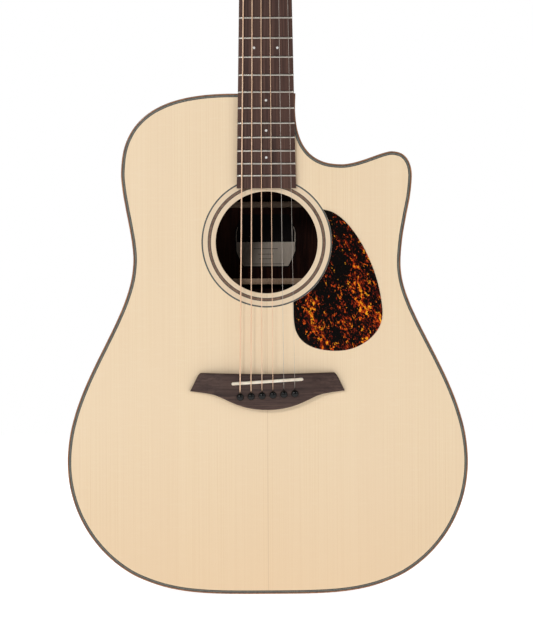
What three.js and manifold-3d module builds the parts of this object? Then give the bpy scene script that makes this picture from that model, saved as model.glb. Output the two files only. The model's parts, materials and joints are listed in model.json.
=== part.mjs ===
// Steel-string acoustic guitar: a dreadnought with a rounded cutaway on the treble side.
//
// Millimetres. x runs to the treble side, -y comes out of the soundboard towards the player, and
// z runs up the neck. z = 0 is the nut and y = 0 is the soundboard's face, which is also the plane
// the fingerboard is glued to. The headstock is built in a group of its own, tilted back.

import * as THREE from "three";
import { LoftGeometry } from "three/addons/geometries/LoftGeometry.js";
import { mergeVertices } from "three/addons/utils/BufferGeometryUtils.js";
import Module from "manifold-3d";

const wasm = await Module();
wasm.setup();

// ---------------------------------------------------------------- driving dimensions

const SCALE_LENGTH = 650;
const FRET_COUNT = 20;
const ACTION_RADIUS = 406; // crown of the fingerboard, frets, nut and saddle

const NECK_JOINT_Z = -361.5; // the body's edge, at the 14th fret
const TAIL_Z = -870.3;
const BODY_LENGTH = NECK_JOINT_Z - TAIL_Z;

const TAIL_DEPTH = 117; // depth of the body on its centreline, at the tail
const NECK_DEPTH = 99; // and at the neck
const BACK_RISE = 6.45; // lengthwise arch of the back above a straight line
const BACK_CROSS_RADIUS = 5000; // arch of the back from side to side

const TOP_THICKNESS = 2.8;
const BACK_THICKNESS = 2.5;
const SIDE_THICKNESS = 2.2;
const BINDING_WIDTH = 1.2;
const BINDING_HEIGHT = 6;
const PURFLING_WIDTH = 2;
const PURFLING_DEPTH = 1.2;
const CURVE_GAP = 0.1; // between curved neighbours that lie one inside the other
const GAP = 0.3; // between cut or tilted neighbours

const HOLE_Z = -512.85;
const HOLE_RADIUS = 51.8;
const ROSETTE_RING = { inner: 56.6, outer: 60, depth: 0.8 };
const ROSETTE_LINE = { inner: 64.8, outer: 66.3, depth: 0.8 };
const CIRCLE_SIDES = 36;

const BOARD = { thickness: 6.5, endZ: -458, nutWidth: 44.5, endWidth: 60.3 };
const FRET = { base: 2.6, crown: 1.4, height: 1.1, seat: 0.5 };
const NUT = { length: 5, frontHeight: 8.9, backHeight: 7.6 };

const NECK_DEPTH_AT_NUT = 14.5;
const NECK_DEPTH_AT_BODY = 16.5;
const HEEL = { depth: 97, capThickness: 1.8, capTipZ: -336, sweep: 11 };
const TRUSS = { channelHalf: 3.3, floor: 10.2, endZ: -352, centreY: 5.6, nutRadius: 4 };

const HEAD = { tilt: THREE.MathUtils.degToRad(14), z: 5, thickness: 13, plate: 1.5 };
const TRUSS_POCKET = { half: 5.2, top: 26, floor: 10.4 };

const BRIDGE = { thickness: 8.8, halfWidth: 79, bevel: 1.6 };
const SADDLE = { z: -654.15, slope: 0.0626, halfLength: 36.5, width: 3.2, bottom: 4.4 };
const PINS = { z: -668.2, slope: 0.058, hole: 2.7, shaft: 2.35, tip: 1.8, head: 3.6, length: 26 };

const STRING_DIAMETERS = [0.3, 0.41, 0.61, 0.81, 1.07, 1.35]; // string 1, the thinnest, to string 6
const STRING_SPREAD_NUT = 37.9;
const STRING_SPREAD_SADDLE = 55.4;
const STRING_UNDERSIDE_NUT = 8.1; // height above y = 0 on the centreline
const STRING_UNDERSIDE_SADDLE = 11.5;
const STRING_SIDES = 6;

const GEAR = { teeth: 12, module: 0.65, depth: 0.42, wormRadius: 2.6, play: 0.2, wormTurns: 2.6 };
const TUNER = { y: 18, postRadius: 2.9, bushingRadius: 4.9, postTop: 15, wall: 1.2 };
const TUNER_ROWS = [ // height up the headstock, distance of the post from the centreline
  { v: 42, x: 21 },
  { v: 84, x: 23.2 },
  { v: 126, x: 25.4 },
];

// ---------------------------------------------------------------- finishes

const FINISHES = {
  spruce: { color: 0xebd3ad, roughness: 0.35, metalness: 0 },
  rosewood: { color: 0x4a2f25, roughness: 0.35, metalness: 0 },
  fingerboardWood: { color: 0x4c362f, roughness: 0.55, metalness: 0 },
  bridgeWood: { color: 0x4e423c, roughness: 0.5, metalness: 0 },
  mahogany: { color: 0x8a5236, roughness: 0.45, metalness: 0 },
  braceSpruce: { color: 0xdcc296, roughness: 0.7, metalness: 0 },
  maple: { color: 0xd9b98a, roughness: 0.6, metalness: 0 },
  bindingWood: { color: 0x96604a, roughness: 0.35, metalness: 0 },
  purfling: { color: 0x5c5c54, roughness: 0.4, metalness: 0 },
  ringWood: { color: 0x6f5443, roughness: 0.4, metalness: 0 },
  tortoise: { color: 0x2a1510, roughness: 0.15, metalness: 0 },
  bone: { color: 0xe9dfcb, roughness: 0.4, metalness: 0 },
  blackPlastic: { color: 0x121212, roughness: 0.25, metalness: 0 },
  chrome: { color: 0xc9ccd0, roughness: 0.15, metalness: 1 },
  steel: { color: 0xb8bcc0, roughness: 0.3, metalness: 1 },
  bronze: { color: 0xb98a56, roughness: 0.35, metalness: 1 },
};

const guitar = new THREE.Group();
const head = new THREE.Group();
head.rotation.x = -HEAD.tilt;
head.position.z = HEAD.z;
guitar.add(head);

function add(group, name, geometry, finish) {
  const mesh = new THREE.Mesh(geometry, new THREE.MeshStandardMaterial(FINISHES[finish]));
  mesh.name = name;
  group.add(mesh);
}

// ---------------------------------------------------------------- solids

function solid(geometry) {
  const bare = new THREE.BufferGeometry();
  bare.setAttribute("position", geometry.getAttribute("position"));
  bare.setIndex(geometry.getIndex());
  const merged = mergeVertices(bare, 1e-3);
  return new wasm.Manifold(new wasm.Mesh({
    numProp: 3,
    vertProperties: merged.getAttribute("position").array,
    triVerts: new Uint32Array(merged.getIndex().array),
  }));
}

function geometryOf(body) {
  const mesh = body.getMesh();
  const geometry = new THREE.BufferGeometry();
  geometry.setAttribute("position", new THREE.BufferAttribute(mesh.vertProperties, 3));
  geometry.setIndex(new THREE.BufferAttribute(mesh.triVerts, 1));
  return geometry;
}

// A flat plate whose outline lies in x and z. It runs from y = front to y = back.
function plate(outline, front, back, holes = []) {
  const shape = new THREE.Shape(outline);
  shape.holes = holes.map((hole) => new THREE.Path(hole));
  const geometry = new THREE.ExtrudeGeometry(shape, { depth: back - front, bevelEnabled: false });
  geometry.rotateX(Math.PI / 2);
  geometry.translate(0, back, 0);
  return geometry;
}

// A bar along x whose profile lies in z and y.
function barAlongX(profile, x0, x1) {
  const shape = new THREE.Shape(profile.map(([z, y]) => new THREE.Vector2(-z, y)));
  const geometry = new THREE.ExtrudeGeometry(shape, { depth: x1 - x0, bevelEnabled: false });
  geometry.rotateY(Math.PI / 2);
  geometry.translate(x0, 0, 0);
  return geometry;
}

function box(x0, x1, y0, y1, z0, z1) {
  const geometry = new THREE.BoxGeometry(x1 - x0, y1 - y0, z1 - z0);
  geometry.translate((x0 + x1) / 2, (y0 + y1) / 2, (z0 + z1) / 2);
  return geometry;
}

// A round bar along y, centred on (x, z).
function roundAlongY(x, z, radius, y0, y1, sides) {
  const geometry = new THREE.CylinderGeometry(radius, radius, y1 - y0, sides);
  geometry.translate(x, (y0 + y1) / 2, z);
  return geometry;
}

// Each section is wound right-handed about the direction of the loft.
function loft(sections) {
  return new LoftGeometry(sections, { capStart: true, capEnd: true });
}

// ---------------------------------------------------------------- outlines

function circle(radius, centreZ, sides = CIRCLE_SIDES) {
  const points = [];
  for (let i = 0; i < sides; i++) {
    const angle = (2 * Math.PI * i) / sides;
    points.push(new THREE.Vector2(radius * Math.cos(angle), centreZ + radius * Math.sin(angle)));
  }
  return points;
}

// A node of a curve: its point, the handle that enters it, the handle that leaves it, and the number
// of steps to the next node.
function node(x, z, enter, leave, steps) {
  return { at: new THREE.Vector2(x, z), enter, leave, steps };
}

// Cubic curves through the nodes, as points. The last node closes the outline or ends the run.
function curveThrough(nodes) {
  const points = [];
  for (let i = 0; i + 1 < nodes.length; i++) {
    const from = nodes[i];
    const to = nodes[i + 1];
    const leave = from.at.clone().add(new THREE.Vector2(...from.leave));
    const enter = to.at.clone().add(new THREE.Vector2(...to.enter));
    const curve = new THREE.CubicBezierCurve(from.at, leave, enter, to.at);
    points.push(...curve.getPoints(from.steps).slice(0, -1));
  }
  return points;
}

// A closed outline moved inwards by a distance. The outline runs counter-clockwise.
function inset(outline, distance) {
  const count = outline.length;
  return outline.map((point, i) => {
    const before = point.clone().sub(outline[(i + count - 1) % count]).normalize();
    const after = outline[(i + 1) % count].clone().sub(point).normalize();
    const normal = new THREE.Vector2(-before.y - after.y, before.x + after.x);
    return point.clone().addScaledVector(normal, distance / (1 + before.dot(after)));
  });
}

const bodyOutline = curveThrough([
  node(0, TAIL_Z, [0, 0], [65.1, 0], 7),
  node(139.5, -849.1, [-39.9, -21.2], [38.5, 22.9], 6),
  node(203.5, -735.9, [0, -48], [0, 80], 9),
  node(136, -536.2, [0, -52.5], [0, 38.2], 4),
  node(148, -445.4, [0, -26.3], [0, 4.1], 5),
  node(127.8, -420.9, [19.5, 0], [-10.5, 0], 5),
  node(76.2, -433.9, [18.1, 0], [-40, 0], 6),
  node(30.1, NECK_JOINT_Z, [-2.9, -40.9], [0, 0], 1),
  node(-28.4, NECK_JOINT_Z, [0, 0], [-39, 0], 8),
  node(-147.7, -441.4, [0, 78.5], [0, -26.1], 5),
  node(-135.6, -530.3, [0, 25.6], [0, -61], 9),
  node(-203.5, -735.9, [0, 80], [0, -48], 6),
  node(-139.5, -849.1, [-38.5, 22.9], [39.9, -21.2], 7),
  node(0, TAIL_Z, [-65.1, 0], [0, 0], 0),
]);

// A wall that follows the body's outline, between two distances from its edge.
function rim(outer, inner, front, back) {
  return plate(inset(bodyOutline, outer), front, back, [inset(bodyOutline, inner)]);
}

// ---------------------------------------------------------------- the arched back

// How far the back's outer face lies behind the soundboard's face.
function backFace(x, z) {
  const along = (z - TAIL_Z) / BODY_LENGTH;
  const taper = TAIL_DEPTH + (NECK_DEPTH - TAIL_DEPTH) * along;
  return taper + 4 * BACK_RISE * along * (1 - along) - (x * x) / (2 * BACK_CROSS_RADIUS);
}

// The layer between two distances behind the back's outer face, wider and longer than the body.
function archedLayer(near, far) {
  const geometry = new THREE.BoxGeometry(430, 1, 530, 6, 1, 8);
  geometry.translate(0, 0, (NECK_JOINT_Z + TAIL_Z) / 2);
  const position = geometry.getAttribute("position");
  for (let i = 0; i < position.count; i++) {
    const face = backFace(position.getX(i), position.getZ(i));
    position.setY(i, face + (position.getY(i) < 0 ? near : far));
  }
  return solid(geometry);
}

const DEEP = 150; // beyond the whole body
const behindCavity = archedLayer(-BACK_THICKNESS - CURVE_GAP, DEEP);

// ---------------------------------------------------------------- bridge holes and string runs

function stringX(number, spread) {
  return spread / 2 - ((number - 1) * spread) / 5;
}

function pinPlace(number) {
  const x = stringX(number, STRING_SPREAD_SADDLE);
  return { x, z: PINS.z + PINS.slope * x };
}

// The string lies between its pin and the saddle side of the hole, in a slot of its own.
const STRING_OFFSET = 3.35;
const SLOT_REACH = 4.5;

// The hole for a bridge pin with its string slot, from y0 to y1.
function pinHole(number, y0, y1) {
  const { x, z } = pinPlace(number);
  const half = STRING_DIAMETERS[number - 1] / 2 + GAP;
  const hole = solid(roundAlongY(x, z, PINS.hole, y0, y1, 8));
  return hole.add(solid(box(x - half, x + half, y0, y1, z, z + SLOT_REACH)));
}

// The ramp that lets a string run down from the saddle into its slot.
function stringRamp(number) {
  const { x, z } = pinPlace(number);
  const half = STRING_DIAMETERS[number - 1] / 2 + GAP;
  const profile = [[z + 11, -9.2], [z + SLOT_REACH, -5.6], [z, -5.6], [z, -12], [z + 11, -12]];
  return solid(barAlongX(profile, x - half, x + half));
}

function drillForPins(body, y0, y1) {
  let drilled = body;
  for (let number = 1; number <= 6; number++) {
    drilled = drilled.subtract(pinHole(number, y0, y1));
  }
  return drilled;
}

// ---------------------------------------------------------------- body

function soundboard() {
  const edge = BINDING_WIDTH + CURVE_GAP;
  const hole = circle(HOLE_RADIUS, HOLE_Z);
  const purflingLedge = rim(BINDING_WIDTH / 2, edge + PURFLING_WIDTH + CURVE_GAP, -1, PURFLING_DEPTH);
  const board = solid(plate(inset(bodyOutline, edge), 0, TOP_THICKNESS, [hole]))
    .subtract(solid(purflingLedge))
    .subtract(groove(ROSETTE_RING))
    .subtract(groove(ROSETTE_LINE));
  return geometryOf(drillForPins(board, -1, TOP_THICKNESS + 1));
}

function groove(ring) {
  const outer = circle(ring.outer + CURVE_GAP, HOLE_Z);
  const inner = circle(ring.inner - CURVE_GAP, HOLE_Z);
  return solid(plate(outer, -1, ring.depth, [inner]));
}

function inlaidRing(ring) {
  return plate(circle(ring.outer, HOLE_Z), 0, ring.depth, [circle(ring.inner, HOLE_Z)]);
}

// The bent side, with a rebate for the binding at both edges. One half of it is kept.
function side(x0, x1) {
  const rebate = BINDING_WIDTH + CURVE_GAP;
  const edge = rim(-5, rebate, -5, BINDING_HEIGHT);
  const backEdge = solid(rim(-5, rebate, BINDING_HEIGHT, DEEP))
    .intersect(archedLayer(-BINDING_HEIGHT - CURVE_GAP, DEEP));
  const wall = solid(rim(0, SIDE_THICKNESS, TOP_THICKNESS, DEEP))
    .subtract(behindCavity)
    .subtract(solid(edge))
    .subtract(backEdge);
  return geometryOf(wall.intersect(solid(box(x0, x1, -DEEP, 2 * DEEP, -900, -300))));
}

function backPanel() {
  const outline = inset(bodyOutline, BINDING_WIDTH + CURVE_GAP);
  return geometryOf(solid(plate(outline, 60, DEEP)).intersect(archedLayer(-BACK_THICKNESS, 0)));
}

function backBinding() {
  return geometryOf(solid(rim(0, BINDING_WIDTH, 60, DEEP)).intersect(archedLayer(-BINDING_HEIGHT, 0)));
}

// A block glued inside the rim at the neck or the tail.
function endBlock(halfWidth, z0, z1) {
  const cavity = plate(inset(bodyOutline, SIDE_THICKNESS + CURVE_GAP), TOP_THICKNESS, DEEP);
  const block = solid(cavity).intersect(solid(box(-halfWidth, halfWidth, 0, DEEP, z0, z1)));
  return geometryOf(block.subtract(behindCavity));
}

// ---------------------------------------------------------------- braces

const BRACE_WIDTH = 8;

// A brace under the soundboard: it reaches from -before to after along its own length, which is
// turned by an angle from x about a point on the centreline.
function topBrace(before, after, height, angle, z) {
  const under = TOP_THICKNESS;
  const tip = 3;
  const profile = new THREE.Shape([
    new THREE.Vector2(-before, under),
    new THREE.Vector2(after, under),
    new THREE.Vector2(after, under + tip),
    new THREE.Vector2(after * 0.55, under + height * 0.7),
    new THREE.Vector2(20, under + height),
    new THREE.Vector2(-20, under + height),
    new THREE.Vector2(-before * 0.55, under + height * 0.7),
    new THREE.Vector2(-before, under + tip),
  ]);
  const geometry = new THREE.ExtrudeGeometry(profile, { depth: BRACE_WIDTH, bevelEnabled: false });
  geometry.translate(0, 0, -BRACE_WIDTH / 2);
  geometry.rotateY(-angle);
  geometry.translate(0, 0, z);
  return geometry;
}

// The two long braces cross below the soundhole with a half lap.
const X_BRACE = { z: -600, angle: THREE.MathUtils.degToRad(41), height: 15, upper: 165, lower: 245 };

function xBrace(direction) {
  const { z, angle, height, upper, lower } = X_BRACE;
  const ends = direction > 0 ? [lower, upper] : [upper, lower];
  const brace = solid(topBrace(...ends, height, direction * angle, z));
  const half = BRACE_WIDTH / 2 + GAP;
  const middle = TOP_THICKNESS + height / 2;
  const lap = direction > 0 ? box(-60, 60, middle - GAP, 30, -half, half) : box(-60, 60, 0, middle, -half, half);
  lap.rotateY(direction * angle);
  lap.translate(0, 0, z);
  return geometryOf(brace.subtract(solid(lap)));
}

// A brace across the back, tapered at its ends.
function backBrace(z, halfLength, width) {
  const height = 14;
  const top = backFace(0, z) - BACK_THICKNESS - height;
  const profile = new THREE.Shape([
    new THREE.Vector2(-halfLength, top + height - 3),
    new THREE.Vector2(-halfLength + 45, top),
    new THREE.Vector2(halfLength - 45, top),
    new THREE.Vector2(halfLength, top + height - 3),
    new THREE.Vector2(halfLength, DEEP),
    new THREE.Vector2(-halfLength, DEEP),
  ]);
  const geometry = new THREE.ExtrudeGeometry(profile, { depth: width, bevelEnabled: false });
  geometry.translate(0, 0, z - width / 2);
  return geometryOf(solid(geometry).subtract(behindCavity));
}

const BACK_BRACES = [ // height, half length, width
  [-471, 130, 6],
  [-551.5, 124, 6],
  [-650, 165, 14],
  [-750, 185, 14],
];

// The maple plate under the bridge lies between the legs of the crossed braces.
function bridgePlate() {
  const outline = [
    new THREE.Vector2(-90, -689),
    new THREE.Vector2(90, -689),
    new THREE.Vector2(49, -651),
    new THREE.Vector2(-49, -651),
  ];
  const y1 = TOP_THICKNESS + 2.5;
  return geometryOf(drillForPins(solid(plate(outline, TOP_THICKNESS, y1)), TOP_THICKNESS - 1, y1 + 1));
}

// ---------------------------------------------------------------- neck

function boardWidth(z) {
  return BOARD.nutWidth + ((BOARD.endWidth - BOARD.nutWidth) * z) / BOARD.endZ;
}

function fretZ(number) {
  return SCALE_LENGTH * (2 ** (-number / 12) - 1);
}

// How far a crowned surface has fallen at a distance from the centreline.
function crownDrop(x) {
  return (x * x) / (2 * ACTION_RADIUS);
}

const CROWN_STATIONS = [-0.5, -0.18, 0.18, 0.5];

function fingerboard() {
  const sections = [BOARD.endZ, 0].map((z) => {
    const width = boardWidth(z);
    const top = CROWN_STATIONS.map((s) => {
      return new THREE.Vector3(s * width, crownDrop(s * width) - BOARD.thickness, z);
    });
    return [new THREE.Vector3(width / 2, 0, z), new THREE.Vector3(-width / 2, 0, z), ...top];
  });
  let board = solid(loft(sections));
  for (let number = 1; number <= FRET_COUNT; number++) {
    board = board.add(solid(fret(fretZ(number))));
  }
  return geometryOf(board);
}

function fret(z) {
  const width = boardWidth(z);
  const sections = CROWN_STATIONS.map((s) => {
    const x = s * width;
    const y = crownDrop(x) - BOARD.thickness;
    return [
      new THREE.Vector3(x, y + FRET.seat, z - FRET.base / 2),
      new THREE.Vector3(x, y + FRET.seat, z + FRET.base / 2),
      new THREE.Vector3(x, y - FRET.height, z + FRET.crown / 2),
      new THREE.Vector3(x, y - FRET.height, z - FRET.crown / 2),
    ];
  });
  return loft(sections);
}

// Half width of the heel's flat end at a height: a rounded shield, widest at the body.
function heelCapHalfWidth(z) {
  const t = (HEEL.capTipZ - z) / (HEEL.capTipZ - NECK_JOINT_Z);
  return t <= 0 ? 0 : 15 * Math.sqrt(t * (2 - t));
}

const NECK_PROFILE_STEPS = 7;

// The neck's section at a height: a rounded D that turns into the deep, narrow heel.
function neckSection(z) {
  const halfWidth = boardWidth(Math.min(z, 0)) / 2;
  const along = Math.min(Math.max(z / NECK_JOINT_Z, 0), 1);
  const shaft = NECK_DEPTH_AT_NUT + (NECK_DEPTH_AT_BODY - NECK_DEPTH_AT_NUT) * along;
  const fromHeel = Math.max(z - HEEL.capTipZ, 0);
  const depth = shaft + (HEEL.depth - shaft) * Math.exp(-fromHeel / HEEL.sweep);
  const heel = Math.exp(-fromHeel / (1.6 * HEEL.sweep));
  const capHalf = Math.max(heelCapHalfWidth(z), 3);
  const right = [];
  for (let k = 0; k <= NECK_PROFILE_STEPS; k++) {
    const angle = (Math.PI / 2) * (k / NECK_PROFILE_STEPS);
    const t = Math.min(k / (NECK_PROFILE_STEPS - 1), 1);
    const shaftX = halfWidth * Math.cos(angle) ** 0.85;
    const shaftY = depth * Math.sin(angle) ** 0.9;
    const heelX = k === NECK_PROFILE_STEPS ? 0 : capHalf + (halfWidth - capHalf) * (1 - t) ** 1.7;
    const heelY = depth * t;
    right.push([shaftX + (heelX - shaftX) * heel, shaftY + (heelY - shaftY) * heel]);
  }
  right[NECK_PROFILE_STEPS][0] = 0;
  const left = right.slice(0, -1).reverse().map(([x, y]) => [-x, y]);
  return [...right, ...left].map(([x, y]) => new THREE.Vector3(x, y, z));
}

const NECK_STATIONS = [
  NECK_JOINT_Z, -354, -347, -341, -337.5, HEEL.capTipZ, -334, -331, -327, -322, -315, -306, -294, -276,
  -150, 0, 6,
];

// Outline of the headstock in its own plane: it flares from the nut and has a softly arched top.
function headOutline(bottom) {
  return curveThrough([
    node(-22.25, bottom, [0, 0], [0, 0], 1),
    node(22.25, bottom, [0, 0], [0.5, 12], 4),
    node(31, 31, [-2, -14], [1, 18], 3),
    node(37.2, 158, [-1, -20], [0.5, 8], 4),
    node(29, 171.5, [6, 0.5], [-8, 0], 3),
    node(0, 176, [8, 0], [-8, 0], 3),
    node(-29, 171.5, [8, 0], [-6, 0.5], 4),
    node(-37.2, 158, [-0.5, 8], [1, -20], 3),
    node(-31, 31, [-1, 18], [2, -14], 4),
    node(-22.25, bottom, [-0.5, 12], [0, 0], 0),
  ]);
}

// Geometry in the headstock's plane, moved to where the tilted group puts it.
function inHeadPlace(geometry) {
  geometry.rotateX(-HEAD.tilt);
  geometry.translate(0, 0, HEAD.z);
  return geometry;
}

function trussPocket() {
  const { half, top, floor } = TRUSS_POCKET;
  return box(-half, half, -6, floor, -1, top);
}

function tunerHoles(y0, y1) {
  const holes = [];
  for (const { v, x } of TUNER_ROWS) {
    holes.push(roundAlongY(x, v, TUNER.bushingRadius + GAP, y0, y1, 12));
    holes.push(roundAlongY(-x, v, TUNER.bushingRadius + GAP, y0, y1, 12));
  }
  return holes;
}

function neck() {
  const channel = box(-TRUSS.channelHalf, TRUSS.channelHalf, -1, TRUSS.floor, TRUSS.endZ, 6);
  let body = solid(loft(NECK_STATIONS.map(neckSection)))
    .add(solid(inHeadPlace(plate(headOutline(0), 0, HEAD.thickness))))
    .subtract(solid(channel))
    .subtract(solid(inHeadPlace(trussPocket())));
  for (const hole of tunerHoles(-5, HEAD.thickness + 5)) {
    body = body.subtract(solid(inHeadPlace(hole)));
  }
  return geometryOf(body);
}

function headplate() {
  let body = solid(plate(headOutline(0.5), -GAP - HEAD.plate, -GAP)).subtract(solid(trussPocket()));
  for (const hole of tunerHoles(-5, 5)) {
    body = body.subtract(solid(hole));
  }
  return geometryOf(body);
}

// A bell-shaped cover over the truss rod's pocket.
function trussCover() {
  const outline = curveThrough([
    node(-9, 1.5, [0, 0], [0, 0], 1),
    node(9, 1.5, [0, 0], [0, 8], 4),
    node(5.5, 24, [2, -6], [-1, 4], 3),
    node(0, 34, [2, 0], [-2, 0], 3),
    node(-5.5, 24, [1, 4], [-2, -6], 4),
    node(-9, 1.5, [0, 8], [0, 0], 0),
  ]);
  const front = -GAP - HEAD.plate - GAP;
  return plate(outline, front - 1.8, front);
}

function heelCap() {
  const steps = 6;
  const outline = [];
  for (let i = 0; i <= steps; i++) {
    const z = NECK_JOINT_Z + (HEEL.capTipZ - NECK_JOINT_Z) * Math.sin((Math.PI / 2) * (i / steps));
    outline.push(new THREE.Vector2(Math.max(heelCapHalfWidth(z), 0.1), z));
  }
  const left = outline.map((p) => new THREE.Vector2(-p.x, p.y)).reverse();
  return plate([...outline, ...left], HEEL.depth, HEEL.depth + HEEL.capThickness);
}

function trussRod() {
  const half = TRUSS.channelHalf - GAP;
  return box(-half, half, TRUSS.centreY - 4.3, TRUSS.centreY + 4.3, TRUSS.endZ + 1, 4.6);
}

// The hexagonal nut that tightens the truss rod, turned through its pocket in the headstock.
function trussNut() {
  const geometry = new THREE.CylinderGeometry(TRUSS.nutRadius, TRUSS.nutRadius, 6.5, 6);
  geometry.rotateX(Math.PI / 2);
  geometry.translate(0, TRUSS.centreY, 8.5);
  return geometry;
}

// ---------------------------------------------------------------- nut, bridge, saddle, pins

function stringUnderside(number, atSaddle) {
  const spread = atSaddle ? STRING_SPREAD_SADDLE : STRING_SPREAD_NUT;
  const height = atSaddle ? STRING_UNDERSIDE_SADDLE : STRING_UNDERSIDE_NUT;
  return crownDrop(stringX(number, spread)) - height;
}

// The nut slopes down towards the headstock and has a slot for each string.
function nut() {
  const profile = [[0, 0], [0, -NUT.frontHeight], [NUT.length, -NUT.backHeight], [NUT.length, 0]];
  let body = solid(barAlongX(profile, -BOARD.nutWidth / 2, BOARD.nutWidth / 2));
  for (let number = 1; number <= 6; number++) {
    const x = stringX(number, STRING_SPREAD_NUT);
    const half = STRING_DIAMETERS[number - 1] / 2 + 2 * GAP; // the strings fan out behind the nut
    const floor = stringUnderside(number, false) + 0.25;
    const slot = [[-1, floor], [1.6, floor], [7, floor + 1.7], [7, -14], [-1, -14]];
    body = body.subtract(solid(barAlongX(slot, x - half, x + half)));
  }
  return geometryOf(body);
}

function bridgeOutline() {
  return curveThrough([
    node(0, -683, [0, 0], [20, 0], 5),
    node(43, -672.3, [-11, -5.4], [7, 3.3], 3),
    node(62, -666, [-8, -1], [0, 0], 1),
    node(BRIDGE.halfWidth, -664, [0, 0], [0, 0], 1),
    node(69.5, -646.5, [1, -2.5], [-1, 1.4], 2),
    node(66.5, -645.3, [1, 0], [-20, -0.4], 3),
    node(0, -646.7, [20, 0], [-20, 0], 3),
    node(-66.5, -645.3, [20, -0.4], [-1, 0], 2),
    node(-69.5, -646.5, [1, 1.4], [-1, -2.5], 1),
    node(-BRIDGE.halfWidth, -664, [0, 0], [0, 0], 1),
    node(-62, -666, [0, 0], [8, -1], 3),
    node(-43, -672.3, [-7, 3.3], [11, -5.4], 5),
    node(0, -683, [-20, 0], [0, 0], 0),
  ]);
}

// The bridge's top face falls away along both wings.
function wingCut(direction) {
  const y = -BRIDGE.thickness;
  const points = [[46, y], [60, y + 1.9], [82, y + 4.6], [82, y - 4], [46, y - 4]];
  const shape = new THREE.Shape(points.map(([x, depth]) => new THREE.Vector2(direction * x, depth)));
  const geometry = new THREE.ExtrudeGeometry(shape, { depth: 60, bevelEnabled: false });
  geometry.translate(0, 0, -695);
  return geometry;
}

// A box across the strings that follows the saddle's slant.
function slantedBox(halfLength, width, y0, y1) {
  const geometry = box(-halfLength, halfLength, y0, y1, -width / 2, width / 2);
  geometry.rotateY(-Math.atan(SADDLE.slope));
  geometry.translate(0, 0, SADDLE.z);
  return geometry;
}

function bridge() {
  const { thickness, bevel } = BRIDGE;
  const shape = new THREE.Shape(inset(bridgeOutline(), bevel));
  const block = new THREE.ExtrudeGeometry(shape, {
    depth: thickness - bevel,
    bevelThickness: bevel,
    bevelSize: bevel,
    bevelSegments: 1,
  });
  block.rotateX(Math.PI / 2);
  const footprint = box(-100, 100, -thickness, 0, -700, -630);
  let body = solid(block).intersect(solid(footprint))
    .subtract(solid(wingCut(1)))
    .subtract(solid(wingCut(-1)))
    .subtract(solid(slantedBox(SADDLE.halfLength + GAP, SADDLE.width + 2 * GAP, -20, -SADDLE.bottom + GAP)));
  for (let number = 1; number <= 6; number++) {
    body = body.subtract(stringRamp(number));
  }
  return geometryOf(drillForPins(body, -20, 1));
}

// The saddle's crest is crowned like the fingerboard, just under the strings.
function saddle() {
  const crest = (x) => crownDrop(x) - STRING_UNDERSIDE_SADDLE + 0.05;
  const { halfLength, width, bottom } = SADDLE;
  const profile = new THREE.Shape();
  profile.moveTo(-halfLength, -bottom);
  profile.lineTo(halfLength, -bottom);
  const stations = 8;
  for (let i = 0; i <= stations; i++) {
    const x = halfLength * (1 - (2 * i) / stations);
    profile.lineTo(x, crest(x));
  }
  const geometry = new THREE.ExtrudeGeometry(profile, { depth: width, bevelEnabled: false });
  geometry.translate(0, 0, -width / 2);
  geometry.rotateY(-Math.atan(SADDLE.slope));
  geometry.translate(0, 0, SADDLE.z);
  return geometry;
}

// A turned pin with a round head, a collar and a tapering shaft.
function bridgePin(number) {
  const { x, z } = pinPlace(number);
  const headFoot = BRIDGE.thickness + 1.1;
  const top = BRIDGE.thickness + 3.6;
  const profile = [
    [0, top - PINS.length],
    [PINS.tip, top - PINS.length],
    [PINS.shaft, BRIDGE.thickness - 1],
    [PINS.shaft, headFoot],
    [PINS.head, headFoot + 0.5],
    [PINS.head - 0.3, headFoot + 1.3],
    [PINS.head - 1.7, top],
    [0, top],
  ].map(([radius, height]) => new THREE.Vector2(radius, height));
  const geometry = new THREE.LatheGeometry(profile, 8);
  geometry.rotateX(Math.PI); // the head points out of the soundboard
  geometry.translate(x, 0, z);
  return geometry;
}

// ---------------------------------------------------------------- strings

// A round bar through a chain of points, with mitred corners and its own radius at each point.
function wire(points, radii) {
  const sections = points.map((point, i) => {
    const into = point.clone().sub(points[Math.max(i - 1, 0)]).normalize();
    const outOf = points[Math.min(i + 1, points.length - 1)].clone().sub(point).normalize();
    const tangent = into.clone().add(outOf).normalize();
    const stretch = 1 / Math.max(tangent.dot(i ? into : outOf), 0.5);
    const binormal = tangent.clone().cross(new THREE.Vector3(1, 0, 0)).normalize();
    const across = binormal.clone().cross(tangent);
    const ring = [];
    for (let k = 0; k < STRING_SIDES; k++) {
      const angle = (2 * Math.PI * (k + 0.5)) / STRING_SIDES;
      ring.push(point.clone()
        .addScaledVector(across, radii[i] * Math.cos(angle))
        .addScaledVector(binormal, radii[i] * stretch * Math.sin(angle)));
    }
    return ring;
  });
  return loft(sections);
}

// A point given in the headstock's plane, in the guitar's frame.
function fromHead(x, y, v) {
  const point = new THREE.Vector3(x, y, v).applyAxisAngle(new THREE.Vector3(1, 0, 0), -HEAD.tilt);
  point.z += HEAD.z;
  return point;
}

function tunerPlace(number) {
  const side = number <= 3 ? 1 : -1;
  const row = number <= 3 ? TUNER_ROWS[number - 1] : TUNER_ROWS[6 - number];
  return { side, x: side * row.x, v: row.v };
}

const WINDING_HEIGHT = 8.5; // where a string meets its post, above the headstock's face

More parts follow.
